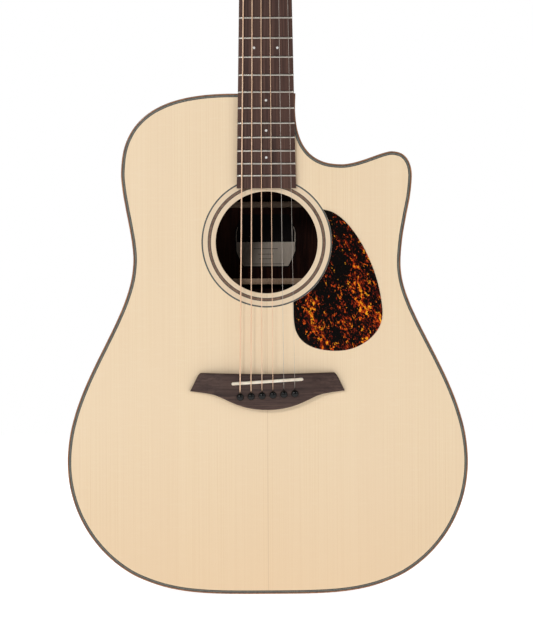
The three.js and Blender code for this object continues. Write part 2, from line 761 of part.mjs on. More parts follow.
// From the post over the nut and the saddle, down its slot in the bridge to the ball end.
function guitarString(number) {
  const radius = STRING_DIAMETERS[number - 1] / 2;
  const tuner = tunerPlace(number);
  const pin = pinPlace(number);
  const nutX = stringX(number, STRING_SPREAD_NUT);
  const breakZ = SADDLE.z + SADDLE.slope * pin.x - SADDLE.width / 2 - 0.2; // behind the saddle's crest
  const clearOfPost = TUNER.postRadius + GAP + radius;
  const slotZ = pin.z + STRING_OFFSET;
  const points = [
    fromHead(tuner.x - tuner.side * clearOfPost, -WINDING_HEIGHT, tuner.v - 1),
    new THREE.Vector3(nutX, stringUnderside(number, false) - radius, 1.4),
    new THREE.Vector3(pin.x, stringUnderside(number, true) - radius - 0.1, breakZ),
    new THREE.Vector3(pin.x, -6.9, slotZ),
    new THREE.Vector3(pin.x, 5.5, slotZ),
    new THREE.Vector3(pin.x, 6.5, slotZ + 1.2),
    new THREE.Vector3(pin.x, 9.5, slotZ + 1.2),
  ];
  const ball = 1.9;
  return wire(points, [radius, radius, radius, radius, radius, ball, ball]);
}

// ---------------------------------------------------------------- tuners

const GEAR_PITCH = Math.PI * GEAR.module;
const WHEEL_RADIUS = (GEAR.teeth * GEAR.module) / 2;
const GEAR_DISTANCE = WHEEL_RADIUS + GEAR.wormRadius + GEAR.play;
const WHEEL_THICKNESS = 2.4;

// The worm wheel's teeth are a wave round its rim, with one crest facing the worm at rest.
function wormWheel() {
  const samples = GEAR.teeth * 4;
  const rimPoints = [];
  for (let i = 0; i < samples; i++) {
    const angle = (2 * Math.PI * i) / samples;
    const radius = WHEEL_RADIUS + GEAR.depth * Math.cos(GEAR.teeth * (angle - Math.PI / 2));
    rimPoints.push(new THREE.Vector2(radius * Math.cos(angle), radius * Math.sin(angle)));
  }
  return plate(rimPoints, -WHEEL_THICKNESS / 2, WHEEL_THICKNESS / 2);
}

// The worm's thread is the same wave, wound round an axis along x.
function worm() {
  const length = GEAR.wormTurns * GEAR_PITCH;
  const rows = Math.round(GEAR.wormTurns * 5);
  const geometry = new THREE.CylinderGeometry(GEAR.wormRadius, GEAR.wormRadius, length, 8, rows);
  geometry.rotateZ(Math.PI / 2);
  const position = geometry.getAttribute("position");
  for (let i = 0; i < position.count; i++) {
    const up = position.getZ(i);
    const out = -position.getY(i);
    const radius = Math.hypot(up, out);
    if (radius > 0.1) {
      const turn = (2 * Math.PI * position.getX(i)) / GEAR_PITCH - Math.atan2(out, up);
      const scale = (GEAR.wormRadius + GEAR.depth * Math.cos(turn)) / radius;
      position.setY(i, -out * scale);
      position.setZ(i, up * scale);
    }
  }
  return geometry;
}

// A round bar along x, between two ends given in either order.
function roundAlongX(radius, x0, x1, sides) {
  const geometry = new THREE.CylinderGeometry(radius, radius, Math.abs(x1 - x0), sides);
  geometry.rotateZ(Math.PI / 2);
  geometry.translate((x0 + x1) / 2, 0, 0);
  return geometry;
}

// Everything below is built round the post's axis, with the worm above it, and y = 0 at the gears.
const HOUSING = { left: 8.2, bottom: 7, top: 11.8, half: 4.7, corner: 2.5 };
const SHAFT_RADIUS = 1.6;

function tunerHousing(place) {
  const { left, bottom, top, half, corner } = HOUSING;
  const outline = new THREE.Shape();
  outline.absarc(left - corner, top - corner, corner, 0, Math.PI / 2);
  outline.absarc(corner - left, top - corner, corner, Math.PI / 2, Math.PI);
  outline.absarc(corner - left, corner - bottom, corner, Math.PI, 1.5 * Math.PI);
  outline.absarc(left - corner, corner - bottom, corner, 1.5 * Math.PI, 2 * Math.PI);
  const cap = plate(outline.getPoints(3), -half, half);
  const wheelRoom = WHEEL_RADIUS + GEAR.depth + 0.4;
  const wormRoom = GEAR.wormRadius + GEAR.depth + 0.4;
  const wormHalf = (GEAR.wormTurns * GEAR_PITCH) / 2 + 0.4;
  const halfWheel = WHEEL_THICKNESS / 2 + 0.4;
  const face = HEAD.thickness - TUNER.y; // the headstock's back, seen from the gears
  const front = -TUNER.y - HEAD.plate - GAP;
  const wormHollow = roundAlongX(wormRoom, -wormHalf, wormHalf, 8).translate(0, 0, GEAR_DISTANCE);
  const bore = roundAlongX(SHAFT_RADIUS + GAP, 0, place.side * 20, 8).translate(0, 0, GEAR_DISTANCE);
  const body = solid(cap)
    .add(solid(roundAlongY(0, 0, TUNER.bushingRadius, front - 2.2, face + 1, 12)))
    .add(solid(roundAlongY(0, 0, TUNER.bushingRadius + 1.8, front - 2.2, front - GAP, 6)))
    .subtract(solid(roundAlongY(0, 0, TUNER.postRadius + GAP, front - 5, 0, 10)))
    .subtract(solid(roundAlongY(0, 0, wheelRoom, -halfWheel, halfWheel, 14)))
    .subtract(solid(wormHollow))
    .subtract(solid(bore));
  return geometryOf(body).translate(place.x, TUNER.y, place.v);
}

// The post carries the worm wheel at its foot and has a waist for the string.
function tunerPost(place) {
  const foot = WHEEL_THICKNESS / 2;
  const top = TUNER.y + TUNER.postTop;
  const profile = [
    [0, 0],
    [TUNER.postRadius, 0],
    [TUNER.postRadius, top - 8.5],
    [TUNER.postRadius - 0.7, top - 6],
    [TUNER.postRadius, top - 3],
    [TUNER.postRadius - 0.4, top],
    [0, top],
  ].map(([radius, height]) => new THREE.Vector2(radius, height));
  const post = new THREE.LatheGeometry(profile, 10);
  post.rotateX(Math.PI);
  const body = solid(post.translate(0, foot - 0.2, 0)).add(solid(wormWheel()));
  return geometryOf(body).translate(place.x, TUNER.y, place.v);
}

// The worm's shaft comes out past the headstock's edge and carries the oval button.
function tunerKnob(place) {
  const { side } = place;
  const buttonFrom = 17;
  const buttonTo = 32;
  const outline = new THREE.Shape();
  outline.absellipse((side * (buttonFrom + buttonTo)) / 2, 0, (buttonTo - buttonFrom) / 2, 9.5, 0, 2 * Math.PI);
  const button = new THREE.ExtrudeGeometry(new THREE.Shape(outline.getPoints(7)), {
    depth: 3.5,
    bevelThickness: 1.8,
    bevelSize: 1.8,
    bevelOffset: -1.8,
    bevelSegments: 1,
  });
  button.rotateX(Math.PI / 2);
  button.translate(0, 3.5 / 2, 0);
  const wormEnd = (GEAR.wormTurns * GEAR_PITCH) / 2;
  const shaft = roundAlongX(SHAFT_RADIUS, side * (wormEnd - 0.5), side * (buttonFrom + 3), 8);
  const body = solid(worm()).add(solid(shaft)).add(solid(button));
  return geometryOf(body).translate(place.x, TUNER.y, place.v + GEAR_DISTANCE);
}

// ---------------------------------------------------------------- pickguard

// A teardrop that follows the soundhole on its inner side.
function pickguard() {
  const innerRadius = 66.4;
  const outer = curveThrough([
    node(57.5, -479.6, [0, 0], [30, -3], 9),
    node(117.2, -586.6, [0, 42], [0, -20], 5),
    node(72, -623.5, [22, 0], [-30, 0], 5),
    node(27.1, -589.2, [0, -24], [0, 5], 2),
    node(26.4, -573.7, [0, -5], [0, 0], 0),
  ]);
  const arc = new THREE.Path();
  arc.absarc(0, HOLE_Z, innerRadius, THREE.MathUtils.degToRad(-66.5), THREE.MathUtils.degToRad(30));
  const outline = [...outer.reverse(), ...arc.getPoints(12).slice(0, -1).reverse()];
  return plate(outline.reverse(), -0.8, 0);
}

// ---------------------------------------------------------------- assembly

add(guitar, "soundboard", soundboard(), "spruce");
add(guitar, "rosette_ring", inlaidRing(ROSETTE_RING), "ringWood");
add(guitar, "rosette_line", inlaidRing(ROSETTE_LINE), "purfling");
const purflingOuter = BINDING_WIDTH + CURVE_GAP;
add(guitar, "top_purfling", rim(purflingOuter, purflingOuter + PURFLING_WIDTH, 0, PURFLING_DEPTH), "purfling");
add(guitar, "top_binding", rim(0, BINDING_WIDTH, 0, BINDING_HEIGHT), "bindingWood");
add(guitar, "side_bass", side(-300, -0.05), "rosewood");
add(guitar, "side_treble", side(0.05, 300), "rosewood");
add(guitar, "back_panel", backPanel(), "rosewood");
add(guitar, "back_binding", backBinding(), "bindingWood");
add(guitar, "neck_block", endBlock(38, -418, NECK_JOINT_Z), "mahogany");
add(guitar, "tail_block", endBlock(45, TAIL_Z, -848), "mahogany");
add(guitar, "x_brace_bass", xBrace(1), "braceSpruce");
add(guitar, "x_brace_treble", xBrace(-1), "braceSpruce");
add(guitar, "upper_brace", topBrace(132, 132, 14, 0, -449), "braceSpruce");
BACK_BRACES.forEach(([z, halfLength, width], i) => {
  add(guitar, `back_brace_${i + 1}`, backBrace(z, halfLength, width), "braceSpruce");
});
add(guitar, "bridge_plate", bridgePlate(), "maple");
add(guitar, "pickguard", pickguard(), "tortoise");

add(guitar, "neck", neck(), "mahogany");
add(guitar, "fingerboard", fingerboard(), "fingerboardWood");
add(guitar, "heel_cap", heelCap(), "rosewood");
add(guitar, "nut", nut(), "bone");
add(guitar, "truss_rod", trussRod(), "steel");
add(guitar, "truss_nut", trussNut(), "steel");
add(head, "headplate", headplate(), "rosewood");
add(head, "truss_cover", trussCover(), "blackPlastic");

add(guitar, "bridge", bridge(), "bridgeWood");
add(guitar, "saddle", saddle(), "bone");

for (let number = 1; number <= 6; number++) {
  const place = tunerPlace(number);
  add(guitar, `bridge_pin_${number}`, bridgePin(number), "blackPlastic");
  add(guitar, `string_${number}`, guitarString(number), number < 3 ? "steel" : "bronze");
  add(head, `tuner_housing_${number}`, tunerHousing(place), "chrome");
  add(head, `tuner_post_${number}`, tunerPost(place), "chrome");
  add(head, `tuner_knob_${number}`, tunerKnob(place), "chrome");
}

export default guitar;
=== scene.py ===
"""The looks of a cutaway dreadnought guitar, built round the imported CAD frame.

Shapes are worked out in millimetres, in the frame's axes: x to the treble side, -y out of the soundboard,
z up the neck, with the nut at z = 0. They become metres when a mesh is made.
"""

import json
from math import acos, atan, atan2, copysign, cos, exp, pi, radians, sin, sqrt, tan

import bmesh
import bpy
import numpy as np
from mathutils import Euler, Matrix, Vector


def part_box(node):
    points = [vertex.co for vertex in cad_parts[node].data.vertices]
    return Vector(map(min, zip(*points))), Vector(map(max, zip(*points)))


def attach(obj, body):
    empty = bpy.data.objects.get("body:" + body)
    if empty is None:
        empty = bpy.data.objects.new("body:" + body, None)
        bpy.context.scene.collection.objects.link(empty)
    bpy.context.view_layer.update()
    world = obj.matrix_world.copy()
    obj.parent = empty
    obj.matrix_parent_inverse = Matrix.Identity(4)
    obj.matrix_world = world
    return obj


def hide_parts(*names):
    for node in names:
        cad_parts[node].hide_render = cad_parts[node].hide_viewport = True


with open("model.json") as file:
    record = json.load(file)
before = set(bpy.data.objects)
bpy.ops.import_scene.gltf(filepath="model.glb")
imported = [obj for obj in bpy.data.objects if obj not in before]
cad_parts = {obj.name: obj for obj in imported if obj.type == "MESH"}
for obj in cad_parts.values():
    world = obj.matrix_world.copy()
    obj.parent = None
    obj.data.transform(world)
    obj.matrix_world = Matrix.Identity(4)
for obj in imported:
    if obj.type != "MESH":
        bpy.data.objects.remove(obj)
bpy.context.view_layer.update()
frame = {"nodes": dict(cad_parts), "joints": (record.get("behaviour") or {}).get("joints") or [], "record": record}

MM = 0.001
STRING_NUMBERS = range(1, 7)
SCALE_LENGTH = 650
FRET_COUNT = 20
FRET = {"width": 2.05, "height": 1.1, "seat": 0.6, "end_bevel": 1.1}
ACTION_RADIUS = 406  # crown of the fingerboard and of what follows it
BOARD_THICKNESS = 6.5
BINDING = {"width": 1.2, "height": 6, "round": 0.7}
PURFLING = {"depth": 1.2, "edges": [1.2, 1.85, 3.05, 3.7]}
INLAY = {"depth": 0.8, "proud": 0.02}
TOP_THICKNESS = 2.8
BACK_THICKNESS = 2.5
BACK_PROUD = 0.05  # how far the back's centre strip stands out of it, with a little to spare
SIDE_THICKNESS = 2.2
HEAD = {"z": 5, "thickness": 13, "plate": 1.8}
RING_EDGE = 0.6
CAP_CORNERS = 9  # a face with this many corners or more is a flat end and is shaded flat

# ---------------------------------------------------------------- the frame's shapes


def cad_box_of(node):
    """Lowest and highest corner of a CAD node, in millimetres."""
    low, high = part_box(node)
    return np.array(low) / MM, np.array(high) / MM


def cad_mesh(node):
    """A CAD node's merged vertices in millimetres, and its triangles."""
    mesh = frame["nodes"][node].data
    points = np.round(np.array([v.co for v in mesh.vertices]) / MM, 3)
    merged, index = np.unique(points, axis=0, return_inverse=True)
    index = index.reshape(-1)
    mesh.calc_loop_triangles()
    return merged, [[int(index[i]) for i in t.vertices] for t in mesh.loop_triangles]


def flat_loops(points, triangles, level):
    """Boundaries of the faces at y = level, as (x, z) outlines that run counter-clockwise, longest first."""
    edges = {}
    for t in triangles:
        if all(abs(points[i][1] - level) < 0.02 for i in t):
            for edge in ((t[0], t[1]), (t[1], t[2]), (t[2], t[0])):
                if edge[::-1] in edges:
                    del edges[edge[::-1]]
                else:
                    edges[edge] = True
    loops = []
    chain = dict(edges.keys())
    while chain:
        start, after = chain.popitem()
        loop = [start]
        while after != start:
            loop.append(after)
            after = chain.pop(after)
        outline = np.array([[points[i][0], points[i][2]] for i in loop])
        loops.append(outline if signed_area(outline) > 0 else outline[::-1])
    return sorted(loops, key=lambda o: -abs(signed_area(o)))


def signed_area(outline):
    after = np.roll(outline, -1, 0)
    return float(np.sum(outline[:, 0] * after[:, 1] - after[:, 0] * outline[:, 1]) / 2)


joint_named = {j["name"]: j for j in frame["joints"]}
post_axis = joint_named["tuner_1_post_turn"]["axis"]
TILT = atan2(post_axis[2], -post_axis[1])


def tilted(points, turn):
    x, y, z = np.moveaxis(points, -1, 0)
    return np.stack([x, y * cos(turn) + z * sin(turn), z * cos(turn) - y * sin(turn)], -1)


def from_head(points):
    """Points given in the headstock's own plane, in the guitar's frame."""
    return tilted(np.asarray(points, float), TILT) + (0, 0, HEAD["z"])


def to_head(points):
    return tilted(np.asarray(points, float) - (0, 0, HEAD["z"]), -TILT)


def smooth(points, step=2.5, corner=50):
    """A closed curve through an outline's points, a step apart. Corners sharper than the angle stay."""
    count = len(points)
    before = points - np.roll(points, 1, 0)
    after = np.roll(points, -1, 0) - points
    cosine = np.sum(before * after, 1) / np.linalg.norm(before, axis=1) / np.linalg.norm(after, axis=1)
    sharp = np.degrees(np.arccos(np.clip(cosine, -1, 1))) > corner
    curve = []
    for i in range(count):
        p1, p2 = points[i], points[(i + 1) % count]
        p0 = 2 * p1 - p2 if sharp[i] else points[i - 1]
        p3 = 2 * p2 - p1 if sharp[(i + 1) % count] else points[(i + 2) % count]
        pieces = max(1, round(float(np.linalg.norm(p2 - p1)) / step))
        curve.extend(spline_point(p0, p1, p2, p3, k / pieces) for k in range(pieces))
    return np.array(curve)


def spline_point(p0, p1, p2, p3, t):
    """A point between p1 and p2 on the centripetal Catmull-Rom curve."""
    knots = [0.0]
    for a, b in ((p0, p1), (p1, p2), (p2, p3)):
        knots.append(knots[-1] + sqrt(max(float(np.linalg.norm(b - a)), 1e-6)))
    place = knots[1] + t * (knots[2] - knots[1])

    def between(a, b, i, j):
        return a + (b - a) * (place - knots[i]) / (knots[j] - knots[i])

    middle = between(p1, p2, 1, 2)
    low = between(between(p0, p1, 0, 1), middle, 0, 2)
    high = between(middle, between(p2, p3, 2, 3), 1, 3)
    return between(low, high, 1, 2)


def inset(outline, distance):
    """A closed outline that runs counter-clockwise, moved inwards."""
    before = outline - np.roll(outline, 1, 0)
    after = np.roll(outline, -1, 0) - outline
    before /= np.linalg.norm(before, axis=1)[:, None]
    after /= np.linalg.norm(after, axis=1)[:, None]
    normal = np.stack([-before[:, 1] - after[:, 1], before[:, 0] + after[:, 0]], 1)
    return outline + normal * distance / (1 + np.sum(before * after, 1))[:, None]


def at(outline, y):
    """An outline in x and z as 3-D points, at a y or at y(x, z)."""
    x, z = outline[:, 0], outline[:, 1]
    depth = y(x, z) if callable(y) else np.full(len(outline), float(y))
    return np.stack([x, depth, z], 1)


# ---------------------------------------------------------------- meshes


def skin(rows, wrap=True, wrap_rows=False):
    """Vertices and faces over rows of points. wrap closes each row on itself, and wrap_rows the stack."""
    rows = np.array(rows, float)
    count, width = rows.shape[:2]
    faces = []
    for k in range(count if wrap_rows else count - 1):
        for i in range(width if wrap else width - 1):
            a, b = k * width, (k + 1) % count * width
            j = (i + 1) % width
            faces.append((a + i, a + j, b + j, b + i))
    if wrap and not wrap_rows:
        faces.append(tuple(range(width)))
        faces.append(tuple((count - 1) * width + i for i in range(width)))
    if wrap_rows and not wrap:
        faces.append(tuple(k * width for k in range(count)))
        faces.append(tuple((k + 1) * width - 1 for k in range(count)))
    return rows.reshape(-1, 3), faces


def joined(*shapes):
    points, faces, start = [], [], 0
    for vertices, polygons in shapes:
        points.append(vertices)
        faces.extend(tuple(i + start for i in f) for f in polygons)
        start += len(vertices)
    return np.concatenate(points), faces


def moved(shape, change):
    return change(shape[0]), shape[1]


def blend(low, high, share):
    return low + (high - low) * share


def ease(value, low, high):
    """From 0 to 1 between two values, level at both ends."""
    t = min(max((value - low) / (high - low), 0), 1)
    return t * t * (3 - 2 * t)


def quarter(steps):
    """Angles from nothing to a right angle."""
    return [pi / 2 * k / steps for k in range(steps + 1)]


def plate(outline, front, back, front_round=0.0, back_round=0.0, steps=4):
    """A plate between two levels of y, with rounded edges."""
    way = 1 if back > front else -1
    rows = []
    for a in quarter(steps) if front_round else [pi / 2]:
        rows.append(at(inset(outline, front_round * (1 - sin(a))), front + way * front_round * (1 - cos(a))))
    for a in quarter(steps) if back_round else [0]:
        rows.append(at(inset(outline, back_round * (1 - cos(a))), back - way * back_round * (1 - sin(a))))
    return skin(rows)


def arc(x, z, radius, start, end, steps):
    """Points on a circle in the plane of x and z, from one bearing to another in degrees."""
    angles = np.radians(np.linspace(start, end, steps + 1))
    return np.stack([x + radius * np.cos(angles), z + radius * np.sin(angles)], 1)


def circle(radius, sides=48, x=0.0, z=0.0):
    angles = np.arange(sides) * 2 * pi / sides
    return np.stack([x + radius * np.cos(angles), z + radius * np.sin(angles)], 1)


def lathe(profile, sides=32, x=0.0, z=0.0):
    """A turned shape round an axis along y. The profile lists (radius, y)."""
    return skin([at(circle(max(radius, 0.01), sides, x, z), y) for radius, y in profile])


def lathe_x(profile, sides=32, y=0.0, z=0.0):
    """A turned shape round an axis along x. The profile lists (radius, x)."""
    vertices, faces = lathe(profile, sides)
    return np.stack([vertices[:, 1], vertices[:, 0] + y, vertices[:, 2] + z], 1), faces


def box_shape(x0, x1, y0, y1, z0, z1):
    return plate(np.array([[x0, z0], [x1, z0], [x1, z1], [x0, z1]], float), y0, y1)


def rounded_box(left, right, bottom, top, corner, steps=6):
    right, top, left, bottom = right - corner, top - corner, left + corner, bottom + corner
    corners = ((right, top, 0), (left, top, 90), (left, bottom, 180), (right, bottom, 270))
    return np.concatenate([arc(x, z, corner, start, start + 90, steps) for x, z, start in corners])


def tube(points, radius, sides=12):
    """A round bar through a fine chain of points."""
    tangents = np.gradient(points, axis=0)
    tangents /= np.linalg.norm(tangents, axis=1)[:, None]
    across = np.cross(tangents[0], [0.3, 0.8, 0.52])
    angles = np.arange(sides)[:, None] * 2 * pi / sides
    rows = []
    for point, tangent in zip(points, tangents):
        across = across - tangent * np.dot(across, tangent)
        across /= np.linalg.norm(across)
        upright = np.cross(tangent, across)
        rows.append(point + radius * (np.cos(angles) * across + np.sin(angles) * upright))
    return skin(rows)


def rounded_path(points, radius, steps=6):
    """A chain of points with its corners turned into short curves."""
    path = [points[0]]
    for a, b, c in zip(points, points[1:], points[2:]):
        to_a, to_c = float(np.linalg.norm(b - a)), float(np.linalg.norm(c - b))
        reach = min(radius, 0.45 * to_a, 0.45 * to_c)
        start = b + (a - b) / to_a * reach
        end = b + (c - b) / to_c * reach
        for t in np.linspace(0, 1, steps + 1):
            path.append((1 - t) ** 2 * start + 2 * t * (1 - t) * b + t * t * end)
    path.append(points[-1])
    return np.array(path)


def mesh_object(name, shape):
    vertices, faces = shape
    mesh = bpy.data.meshes.new(name)
    mesh.from_pydata([tuple(v) for v in vertices * MM], [], faces)
    work = bmesh.new()
    work.from_mesh(mesh)
    bmesh.ops.remove_doubles(work, verts=work.verts, dist=1e-7)
    bmesh.ops.recalc_face_normals(work, faces=work.faces)
    work.to_mesh(mesh)
    work.free()
    made = bpy.data.objects.new(name, mesh)
    bpy.context.scene.collection.objects.link(made)
    return made


def carve(base, operation, *shapes):
    """Joins shapes to a mesh object or cuts them from it, and keeps the result as its mesh."""
    for shape in shapes:
        tool = mesh_object("tool", shape)
        change = base.modifiers.new("carve", "BOOLEAN")
        change.operation = operation
        change.solver = "EXACT"
        change.object = tool
        bpy.context.view_layer.update()
        result = bpy.data.meshes.new_from_object(base.evaluated_get(bpy.context.evaluated_depsgraph_get()))
        base.modifiers.clear()
        base.data = result
        bpy.data.objects.remove(tool)


def finish_piece(made, paint, stands_for=None, body="guitar", sharp=32):
    """Gives a piece its paint, its shading, the body it rides on and the CAD node it stands for."""
    made.data.materials.clear()
    made.data.materials.append(PAINTS[paint])
    made.data.shade_smooth()
    made.data.set_sharp_from_angle(angle=radians(sharp))
    for polygon in made.data.polygons:
        polygon.use_smooth = len(polygon.vertices) < CAP_CORNERS
    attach(made, body)
    if stands_for:
        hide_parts(stands_for)
    return made


def piece(name, shape, paint, stands_for=None, body="guitar", sharp=32):
    return finish_piece(mesh_object(name, shape), paint, stands_for, body, sharp)


def head_piece(name, shape, paint, stands_for=None, body="guitar", sharp=32):
    """A piece whose shape is given in the headstock's plane."""
    return piece(name, moved(shape, from_head), paint, stands_for, body, sharp)


# ---------------------------------------------------------------- paints


def srgb(red, green, blue):
    """An 8-bit colour as linear light."""
    parts = (red / 255, green / 255, blue / 255)
    return (*(c / 12.92 if c <= 0.04045 else ((c + 0.055) / 1.055) ** 2.4 for c in parts), 1)


def dimmed(colour, share):
    return tuple(c * share for c in srgb(*colour)[:3]) + (1,)


class Paint:
    """A node material in a piece's own coordinates. Its colours are given as 8-bit red, green and blue."""

    def __init__(self, name, grain=None, **sockets):
        self.name = name
        self.material = bpy.data.materials.new(name)
        self.material.use_nodes = True
        self.tree = self.material.node_tree
        self.shader = self.tree.nodes["Principled BSDF"]
        for socket, value in sockets.items():
            self.shader.inputs[socket.replace("_", " ")].default_value = value
        if grain:
            self.place = self.node("Attribute", {}, attribute_name=grain).outputs["Vector"]
        else:
            self.place = self.node("TexCoord", {}).outputs["Object"]

    def node(self, kind, inputs, **settings):
        made = self.tree.nodes.new("ShaderNode" + kind)
        for key, value in settings.items():
            setattr(made, key, value)
        for key, value in inputs.items():
            self.feed(made.inputs[key], value)
        return made

    def feed(self, socket, value):
        if isinstance(value, bpy.types.NodeSocket):
            self.tree.links.new(value, socket)
        else:
            socket.default_value = value

    def scaled(self, x, y, z, source=None, turn=None):
        """The piece's place with so many units to each millimetre along each axis."""
        source = source or self.place
        if turn:
            spin = {"Vector": source, "Rotation": turn}
            source = self.node("VectorRotate", spin, rotation_type="EULER_XYZ").outputs["Vector"]
        return self.node("Mapping", {"Vector": source, "Scale": (x / MM, y / MM, z / MM)}).outputs["Vector"]

    def noise(self, vector, detail=3.0, roughness=0.55, distortion=0.0, output="Fac"):
        inputs = {"Vector": vector, "Scale": 1.0, "Detail": detail, "Roughness": roughness,
                  "Distortion": distortion}
        return self.node("TexNoise", inputs).outputs[output]

    def math(self, operation, a, b=0.0):
        return self.node("Math", {0: a, 1: b}, operation=operation).outputs[0]

    def vector(self, operation, a, b, output=0):
        return self.node("VectorMath", {0: a, 1: b}, operation=operation).outputs[output]

    def span(self, value, low, high, to_low=0.0, to_high=1.0):
        """The value from low to high, as a smooth step between two outputs."""
        inputs = {"Value": value, "From Min": low, "From Max": high, "To Min": to_low, "To Max": to_high}
        return self.node("MapRange", inputs, interpolation_type="SMOOTHSTEP").outputs["Result"]

    def ramp(self, value, *stops):
        made = self.node("ValToRGB", {"Fac": value})
        elements = made.color_ramp.elements
        while len(elements) < len(stops):
            elements.new(0.5)
        for element, (position, colour) in zip(elements, stops):
            element.position = position
            element.color = srgb(*colour)
        return made.outputs["Color"]

    def mix(self, share, a, b):
        made = self.node("Mix", {0: share}, data_type="RGBA")
        for index, value in ((6, a), (7, b)):
            plain = isinstance(value, tuple) and len(value) == 3
            self.feed(made.inputs[index], srgb(*value) if plain else value)
        return made.outputs[2]

    def axis(self, name):
        """One coordinate of the place, in millimetres."""
        return self.node("SeparateXYZ", {"Vector": self.scaled(1, 1, 1)}).outputs[name]

    def finish(self, colour, roughness=None, relief=None, strength=0.0, distance=0.0):
        """Joins colour, roughness and relief to the shader, the relief's distance in millimetres."""
        self.feed(self.shader.inputs["Base Color"], colour)
        if roughness is not None:
            self.feed(self.shader.inputs["Roughness"], roughness)
        if relief is not None:
            inputs = {"Height": relief, "Strength": strength, "Distance": distance * MM}
            self.feed(self.shader.inputs["Normal"], self.node("Bump", inputs).outputs["Normal"])
        return self


def spruce_paint():
    """Book-matched spruce, mirrored about its seam, a little darker round the hole, with painted shade toward the
    tail where the light falls off.
    """
    p = Paint("spruce", Coat_Weight=0.12, Coat_Roughness=0.25)
    part = p.node("SeparateXYZ", {"Vector": p.place})
    mirrored, height = p.math("ABSOLUTE", part.outputs["X"]), part.outputs["Z"]
    halves = p.node("CombineXYZ", {"X": mirrored, "Y": part.outputs["Y"], "Z": height}).outputs["Vector"]
    lines = p.noise(p.scaled(1.1, 1.1, 0.003, halves), detail=2.0, roughness=0.6)
    bands = p.noise(p.scaled(0.05, 0.05, 0.0006, halves))
    silk = p.noise(p.scaled(0.05, 0.3, 0.35, halves), detail=2.0)
    clouds = p.noise(p.scaled(0.008, 0.008, 0.006), detail=2.0)
    low, high = cad_box_of("rosette_line")
    centre, radius = (0, 0, (low[2] + high[2]) / 2 * MM), (high[0] - low[0]) / 2 * MM
    reach = p.vector("DISTANCE", p.vector("MULTIPLY", halves, (1, 0, 1)), centre, "Value")
    base = p.ramp(lines, (0.3, (235, 207, 168)), (0.56, (243, 219, 184)))
    for share, tone in (
        (p.span(bands, 0.35, 0.7, 0.0, 0.6), (239, 213, 178)),
        (p.span(silk, 0.5, 0.75, 0.0, 0.22), (246, 226, 196)),
        (p.span(clouds, 0.35, 0.7, 0.0, 0.3), (241, 217, 184)),
        (p.span(reach, radius - MM, radius, 0.38, 0.0), (215, 194, 170)),
        # painted shade: the top darkens toward the tail, standing in for the light falling off there
        (p.span(height, -0.9, -0.66, 0.55, 0.0), (232, 199, 158)),
        (p.span(mirrored, 0.0001, 0.0007, 0.35, 0.0), (205, 172, 132)),
    ):
        base = p.mix(share, base, tone)
    return p.finish(base, p.span(lines, 0.3, 0.7, 0.42, 0.34), lines, 0.12, 0.05)


def streaked_wood(name, dark, mid, light, along=(0.25, 0.25, 0.006), pores=0.5, Roughness=0.4, **sockets):
    """Open-grained hardwood. along gives how fast the figure changes on each axis, least along the grain."""
    p = Paint(name, **sockets)
    x, y, z = along
    wander = p.noise(p.scaled(x * 0.12, y * 0.12, z * 0.6), detail=2.0)
    figure = p.noise(p.scaled(x, y, z), detail=5.0, roughness=0.6, distortion=0.4)
    streaks = p.noise(p.scaled(x * 5, y * 5, z * 1.6), detail=2.0, roughness=0.7)
    holes = p.noise(p.scaled(x * 14, y * 14, z * 7), detail=1.0)
    base = p.ramp(figure, (0.3, dark), (0.5, mid), (0.68, light))
    base = p.mix(p.span(streaks, 0.52, 0.72, 0.0, 0.75), base, dark)
    base = p.mix(p.span(wander, 0.4, 0.65, 0.0, 0.35), base, light)
    open_pores = p.span(holes, 0.62, 0.72, 0.0, pores)
    return p.finish(p.mix(open_pores, base, dimmed(dark, 0.35)),
                    p.span(streaks, 0.3, 0.7, Roughness + 0.06, Roughness - 0.05),
                    p.math("SUBTRACT", figure, open_pores), 0.25, 0.08)


def brace_paint(name, light, dark):
    """Plain pale wood, with painted shade up by the neck, where the soundhole's upper rim shades the upper brace.
    """
    p = Paint(name, Roughness=0.75)
    lines = p.noise(p.scaled(0.9, 0.9, 0.9), detail=4.0, distortion=0.6)
    broad = p.noise(p.scaled(0.06, 0.06, 0.06))
    base = p.ramp(lines, (0.35, dark), (0.62, light))
    base = p.mix(p.span(broad, 0.4, 0.65, 0.0, 0.5), base, light)
    # painted shade: darkened toward the neck end, standing in for the shadow that falls on the upper brace
    painted_shade = p.span(p.axis("Z"), -520, -480, 0.0, 0.8)
    return p.finish(p.mix(painted_shade, base, dimmed(dark, 0.12)), None, lines, 0.3, 0.1)


def line_paint(name, colour, darker):
    """A thin inlaid strip of dyed wood."""
    p = Paint(name, Roughness=0.4)
    grain = p.noise(p.scaled(0.5, 0.5, 0.12), detail=4.0)
    return p.finish(p.ramp(grain, (0.35, darker), (0.65, colour)), None, grain, 0.1, 0.04)


